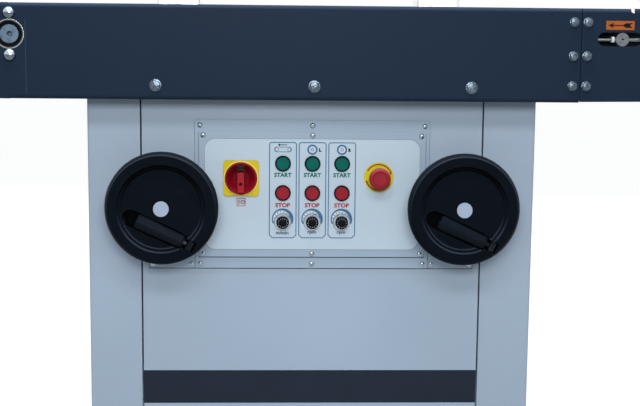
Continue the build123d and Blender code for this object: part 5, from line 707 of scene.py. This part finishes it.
cap_grey = finish("knob_cap", (0.0045, 0.006, 0.0092), (0.0038, 0.005, 0.0078), (0.25, 0.35), 90, 1200,
                  0.00005, gleam=0.04)
for column in ("feed", "left_brush", "right_brush"):
    node = f"{column}_speed_knob"
    dress(knob_black, node)
    low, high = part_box(node)
    inset = bmesh.new()
    line = [(0.0, 0.0009), (0.003, 0.0008), (0.0058, 0.0005), (0.0066, 0.0001), (0.0067, -0.0004)]
    line += [(0.0, -0.0004)]
    knob_x = (low.x + high.x) / 2
    turned(inset, line, (knob_x, low.y, KNOB_Z), (0, -1, 0), 32)
    stand(f"{column}_knob_cap", inset, cap_grey, node, 50)
    # A ring of small pale dots on each knob is painted highlight on the ends of its flutes.
    flute_highlights = [(math.cos(math.tau * i / 12) * 0.0083, math.sin(math.tau * i / 12) * 0.0083) for i in range(12)]
    flute_highlights = [round_line(knob_x + a, KNOB_Z + b, 0.0006, 8) for a, b in flute_highlights]
    cut_sheet(f"{column}_knob_flute_highlights", flute_highlights, low.y, INK, ink_white, node)


# Emergency stop: red moulded mushroom head with a ring sunk in its face. Two red arrows printed on its
# yellow ring show the turn that releases it.
red_mushroom = finish("red_mushroom", (0.3, 0.0235, 0.033), (0.268, 0.0205, 0.029), (0.3, 0.4), 50, 1200,
                      0.00006, edge=0.0006, gleam=0.05)
# A darker ring at the sunk ring's outer edge is painted shade, and the head's upper edge is painted paler as
# a painted highlight.
patch(red_mushroom, (0.15, 0.008, 0.013), 0.4, ring=(ESTOP_X, ESTOP_Z, 0.0128, 0.0138))
patch(red_mushroom, (0.5, 0.085, 0.125), 0.3, ring=(ESTOP_X, ESTOP_Z, 0.0165, 0.021),
      fade=(ESTOP_Z + 0.004, ESTOP_Z + 0.02))
dress(red_mushroom, "estop_head")
arrows = []
for start in (25, 205):
    turns = [math.radians(start + 125 * i / 24) for i in range(25)]
    arrow = [(0.0252 * math.cos(a), 0.0252 * math.sin(a)) for a in turns]
    arrow += [(0.0228 * math.cos(a), 0.0228 * math.sin(a)) for a in reversed(turns)]
    tip = math.radians(start - 15)
    arrow += [(radius * math.cos(a), radius * math.sin(a))
              for radius, a in ((0.0216, turns[0]), (0.024, tip), (0.0264, turns[0]))]
    arrows.append([(ESTOP_X + a, ESTOP_Z + b) for a, b in arrow])
cut_sheet("release_arrows", arrows, SWITCH_Y - 0.0025, INK, ink_red)


# Handwheels: glass-filled black nylon, disc and rim in one matt moulding, with painted highlights on the rim
# and the groove's lower edges, and painted shade in the groove's top and the handle pocket. The handle is a
# blackened steel eye and pin, the grip a revolving nylon sleeve, and the hub has a pale push-in cap.
wheel_nylon = finish("wheel_nylon", (0.0034, 0.0056, 0.0094), (0.0029, 0.0049, 0.0083), (0.26, 0.34), 30,
                     850, 0.00018, edge=0.0008, gleam=0.018)
WHEEL_Z = (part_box("left_handwheel")[0].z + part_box("left_handwheel")[1].z) / 2
# Painted shade darkens the top of the groove round the dish and the handle pocket behind the disc face;
# painted highlights lighten the groove's edges towards the bottom and the rim's outer edge and front corner
# towards the top.
for wheel_x in POST_XS:
    patch(wheel_nylon, (0.0004, 0.0006, 0.001), 0.6, ring=(wheel_x, WHEEL_Z, 0.0715, 0.08),
          fade=(WHEEL_Z + 0.01, WHEEL_Z + 0.05))
    for inner, outer in ((0.0708, 0.0732), (0.0771, 0.08)):
        patch(wheel_nylon, (0.026, 0.036, 0.053), 0.35, ring=(wheel_x, WHEEL_Z, inner, outer),
              fade=(WHEEL_Z - 0.005, WHEEL_Z - 0.06))
    patch(wheel_nylon, (0.012, 0.0165, 0.024), 0.35, ring=(wheel_x, WHEEL_Z, 0.098, 0.104),
          fade=(WHEEL_Z - 0.06, WHEEL_Z + 0.06))
    patch(wheel_nylon, (0.03, 0.04, 0.056), 0.35, ring=(wheel_x, WHEEL_Z, 0.0963, 0.098),
          fade=(WHEEL_Z - 0.02, WHEEL_Z + 0.08))
    patch(wheel_nylon, (0.0008, 0.001, 0.0014), 0.6, spans=(("Y", FACE - 0.0835, FACE - 0.05),),
          ring=(wheel_x, WHEEL_Z, 0.015, 0.0706))
dress(wheel_nylon, "left_handwheel", "right_handwheel")
grip_nylon = finish("grip_nylon", (0.0068, 0.0104, 0.0162), (0.0058, 0.009, 0.0142), (0.34, 0.44), 60,
                    1000, 0.00005, edge=0.0006, gleam=0.02)
dress(grip_nylon, "left_grip", "right_grip")
black_steel = finish("black_steel", (0.014, 0.017, 0.022), (0.008, 0.01, 0.013), (0.2, 0.32), 90, 1300,
                     0.0001, metallic=1.0, edge=0.0006)
dress(black_steel, "left_handle", "right_handle")
turned_steel = finish("turned_steel", (0.5, 0.53, 0.56), (0.42, 0.45, 0.48), (0.25, 0.38), 90, 1500,
                      0.0001, metallic=1.0, edge=0.0004)
patch(turned_steel, (0.29, 0.365, 0.485), 0.5, spans=(("Y", FACE - 0.0885, FACE - 0.0839),))
dress(turned_steel, "left_handwheel_shaft", "right_handwheel_shaft")


# Lift drive: ground lift screws in cast gearboxes hung from cast guides, and square posts that slide in
# them. The castings, and the spindle housing across each post's top, are sprayed grey; the posts are chromed.
CAST_GREY = (0.3, 0.34, 0.385)
cast_paint = finish("cast_paint", CAST_GREY, (0.26, 0.3, 0.34), (0.45, 0.6), 20, 420, 0.0006, edge=0.001)
dress(cast_paint, "lift_gearboxes", "post_guides")
screw_steel = finish("screw_steel", (0.48, 0.5, 0.53), (0.4, 0.42, 0.45), (0.25, 0.38), 60, 900, 0.0004,
                     metallic=1.0, lay=(1, 1, 4))
dress(screw_steel, "left_lift_screw", "right_lift_screw")
BRUSH_Z = (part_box("left_brush_roller")[0].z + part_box("left_brush_roller")[1].z) / 2
post_chrome = finish("post_chrome", (0.9, 0.91, 0.92), (0.84, 0.85, 0.86), (0.2, 0.28), 40, 1500, 0.00004,
                     metallic=1.0, edge=0.001, lay=(1, 1, 0.06))
patch(post_chrome, CAST_GREY, 0.5, spans=(("Z", BRUSH_Z - 0.086, BRUSH_Z + 0.1),))
dress(post_chrome, "left_head_arm", "right_head_arm")


# Brush hoods and their doors: folded and rolled sheet in the cabinet's coat, with a black ball knob on each
# door. The spindles are ground steel.
hood_paint = finish("hood_paint", CABINET_BLUE, CABINET_SHADE, (0.38, 0.48), 5, 620, 0.00022,
                    edge=0.001)
dress(hood_paint, "left_brush_hood", "right_brush_hood")
for side, sign in (("left", -1), ("right", 1)):
    door_paint = finish(f"{side}_door_paint", CABINET_BLUE, CABINET_SHADE, (0.38, 0.48), 5, 620,
                        0.00022, edge=0.0008)
    knob_x = sign * 0.1818
    patch(door_paint, (0.009, 0.01, 0.013), 0.35,
          spans=(("X", knob_x - 0.0095, knob_x + 0.0095), ("Y", FACE - 0.085, FACE - 0.0566)))
    dress(door_paint, f"{side}_hood_door")
spindle_steel = finish("spindle_steel", (0.52, 0.54, 0.57), (0.44, 0.46, 0.49), (0.2, 0.32), 90, 1500,
                       0.00008, metallic=1.0, edge=0.0005)
dress(spindle_steel, "left_brush_spindle", "right_brush_spindle")


# Bristle rollers: a drilled plastic drum set with tufts of stiff abrasive nylon in close staggered rows.
# Each tuft fans out a little, and its filaments stand up to the brush's full radius.
BRUSH_LOW, BRUSH_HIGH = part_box("left_brush_roller")
BRUSH_AXIS = (BRUSH_LOW + BRUSH_HIGH) / 2
nylon = finish("abrasive_nylon", (0.3, 0.155, 0.035), (0.21, 0.1, 0.02), (0.5, 0.7), 140, 900, 0.0002)
drum_plastic = finish("drum_plastic", (0.05, 0.052, 0.056), (0.04, 0.042, 0.045), (0.45, 0.6), 50, 900,
                      0.0002)
KINDS = 4
STRANDS = 6
TUFT_FOOT = 0.0583
random.seed(7)
tufts = []
for kind in range(KINDS):
    tuft = bmesh.new()
    for strand in range(STRANDS):
        foot = Vector((random.uniform(-0.0022, 0.0022), random.uniform(-0.0022, 0.0022), 0))
        splay = Vector((random.uniform(-0.0035, 0.0035), random.uniform(-0.0035, 0.0035), 0))
        reach = random.uniform(0.0385, 0.0412)
        base = bmesh.ops.create_circle(tuft, cap_ends=True, segments=3, radius=0.0011,
                                       matrix=Matrix.Translation(foot))
        face = base["verts"][0].link_faces[0]
        for rise, drift in ((reach * 0.55, splay * 0.35), (reach * 0.45, splay * 0.65)):
            grown = bmesh.ops.extrude_face_region(tuft, geom=[face])
            tip = [v for v in grown["geom"] if isinstance(v, bmesh.types.BMVert)]
            bmesh.ops.translate(tuft, vec=drift + Vector((0, 0, rise)), verts=tip)
            face = [f for f in grown["geom"] if isinstance(f, bmesh.types.BMFace)][0]
    loose = [f for f in tuft.faces if all(abs(v.co.z) < 1e-6 for v in f.verts)]
    bmesh.ops.delete(tuft, geom=loose, context="FACES")
    mesh = bpy.data.meshes.new("tuft")
    tuft.to_mesh(mesh)
    tuft.free()
    tufts.append(mesh)
ROWS, IN_ROW = 30, 28
pile = bmesh.new()
for row in range(ROWS):
    around = Matrix.Rotation(math.tau * row / ROWS, 4, "Y")
    for number in range(IN_ROW):
        step = 0.3 / IN_ROW
        along = BRUSH_LOW.y + step * (number + (0.36 if row % 2 else 0.64))
        one = tufts[random.randrange(KINDS)].copy()
        spun = Matrix.Rotation(random.uniform(0, math.tau), 4, "Z")
        one.transform(Matrix.Translation((BRUSH_AXIS.x, along, BRUSH_AXIS.z)) @ around
                      @ Matrix.Translation((0, 0, TUFT_FOOT)) @ spun)
        pile.from_mesh(one)
        bpy.data.meshes.remove(one)
for mesh in tufts:
    bpy.data.meshes.remove(mesh)
drum = bmesh.new()
length = BRUSH_HIGH.y - BRUSH_LOW.y
drum_line = [(0.0153, 0), (0.022, 0), (0.0225, 0.002), (0.05, 0.002), (0.0505, 0), (0.059, 0), (0.06, 0.001)]
drum_line += [(radius, length - reach) for radius, reach in reversed(drum_line)] + [(0.0153, 0)]
turned(drum, drum_line, (BRUSH_AXIS.x, BRUSH_LOW.y, BRUSH_AXIS.z), (0, 1, 0), 64)
apart = Matrix.Translation((-2 * BRUSH_AXIS.x, 0, 0))
for side, move in (("left", Matrix.Identity(4)), ("right", apart)):
    for name, shape, material in (("bristles", pile, nylon), ("brush_drum", drum, drum_plastic)):
        copied = shape.copy()
        bmesh.ops.transform(copied, matrix=move, verts=copied.verts)
        piece = stand(f"{side}_{name}", copied, material, f"{side}_brush", 40)
        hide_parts(f"{side}_brush_roller")
pile.free()
drum.free()


# Floor, studio light and camera. A pale floor carries the shadow under a white surround; a strip softbox
# hangs over the front, two fill from above the camera and one lights the back.
world = bpy.data.worlds.new("studio")
bpy.context.scene.world = world
world.use_nodes = True
nodes = world.node_tree.nodes
links = world.node_tree.links
rays = nodes.new("ShaderNodeLightPath")
direct = nodes.new("ShaderNodeMath")
direct.operation = "MAXIMUM"
links.new(rays.outputs["Is Camera Ray"], direct.inputs[0])
links.new(rays.outputs["Is Transmission Ray"], direct.inputs[1])
seen = nodes.new("ShaderNodeMath")
seen.operation = "MAXIMUM"
links.new(direct.outputs["Value"], seen.inputs[0])
links.new(rays.outputs["Is Glossy Ray"], seen.inputs[1])
ambient = nodes["Background"]
ambient.inputs["Color"].default_value = (0.93, 0.97, 1.0, 1)
ambient.inputs["Strength"].default_value = 0.2
white = nodes.new("ShaderNodeBackground")
white.inputs["Strength"].default_value = 1.0
white.inputs["Color"].default_value = (1, 1, 1, 1)
choose = nodes.new("ShaderNodeMixShader")
links.new(seen.outputs["Value"], choose.inputs["Fac"])
links.new(ambient.outputs["Background"], choose.inputs[1])
links.new(white.outputs["Background"], choose.inputs[2])
links.new(choose.outputs["Shader"], nodes["World Output"].inputs["Surface"])

ground = bmesh.new()
bmesh.ops.create_grid(ground, x_segments=1, y_segments=1, size=60)
floor_mesh = bpy.data.meshes.new("floor")
ground.to_mesh(floor_mesh)
ground.free()
floor = bpy.data.objects.new("floor", floor_mesh)
bpy.context.scene.collection.objects.link(floor)
pale_floor = bpy.data.materials.new("pale_floor")
pale_floor.use_nodes = True
nodes = pale_floor.node_tree.nodes
links = pale_floor.node_tree.links
shader = nodes["Principled BSDF"]
shader.inputs["Base Color"].default_value = (0.32, 0.33, 0.34, 1)
shader.inputs["Roughness"].default_value = 0.9
rays = nodes.new("ShaderNodeLightPath")
seen = nodes.new("ShaderNodeMath")
seen.operation = "MAXIMUM"
links.new(rays.outputs["Is Camera Ray"], seen.inputs[0])
links.new(rays.outputs["Is Glossy Ray"], seen.inputs[1])
shader.inputs["Emission Color"].default_value = (1, 1, 1, 1)
lift = nodes.new("ShaderNodeMath")
lift.operation = "MULTIPLY"
lift.inputs[1].default_value = 0.84
links.new(seen.outputs["Value"], lift.inputs[0])
links.new(lift.outputs["Value"], shader.inputs["Emission Strength"])
floor_mesh.materials.append(pale_floor)


def softbox(name, place, aim, width, height, power):
    """A rectangular studio light that faces a point."""
    lamp = bpy.data.lights.new(name, "AREA")
    lamp.shape = "RECTANGLE"
    lamp.size = width
    lamp.size_y = height
    lamp.energy = power
    holder = bpy.data.objects.new(name, lamp)
    holder.location = place
    holder.rotation_euler = (Vector(aim) - Vector(place)).to_track_quat("-Z", "Y").to_euler()
    bpy.context.scene.collection.objects.link(holder)


softbox("top_softbox", (-0.1, -0.9, 3.0), (-0.1, -0.85, 0.6), 2.8, 0.4, 50)
softbox("high_softbox", (-0.1, -2.9, 2.6), (0, -0.3, 0.6), 2.2, 0.5, 36)
softbox("front_softbox", (-0.05, -2.9, 1.35), (0, -0.3, 0.5), 0.9, 0.5, 33)
softbox("back_softbox", (0.5, 3.6, 2.0), (0, 0.2, 0.7), 2.4, 1.2, 70)

yaw = 0.0368381
pitch = -0.1297776
roll = 0.0094784
CAMERA_BACK = 2.22748
forward = Vector((math.sin(yaw) * math.cos(pitch), math.cos(yaw) * math.cos(pitch), math.sin(pitch)))
level = Vector((math.cos(yaw), -math.sin(yaw), 0))
upward = level.cross(forward)
right = math.cos(roll) * level + math.sin(roll) * upward
up = -math.sin(roll) * level + math.cos(roll) * upward
eye = bpy.data.cameras.new("camera")
eye.sensor_fit = "HORIZONTAL"
eye.sensor_width = 36
eye.lens = 67.5
camera = bpy.data.objects.new("camera", eye)
turn = Matrix((right, up, -forward)).transposed().to_4x4()
camera.matrix_world = Matrix.Translation((-0.06731, FACE - CAMERA_BACK, 0.82789)) @ turn
bpy.context.scene.collection.objects.link(camera)
bpy.context.scene.camera = camera
bpy.context.scene.view_settings.view_transform = "Standard"
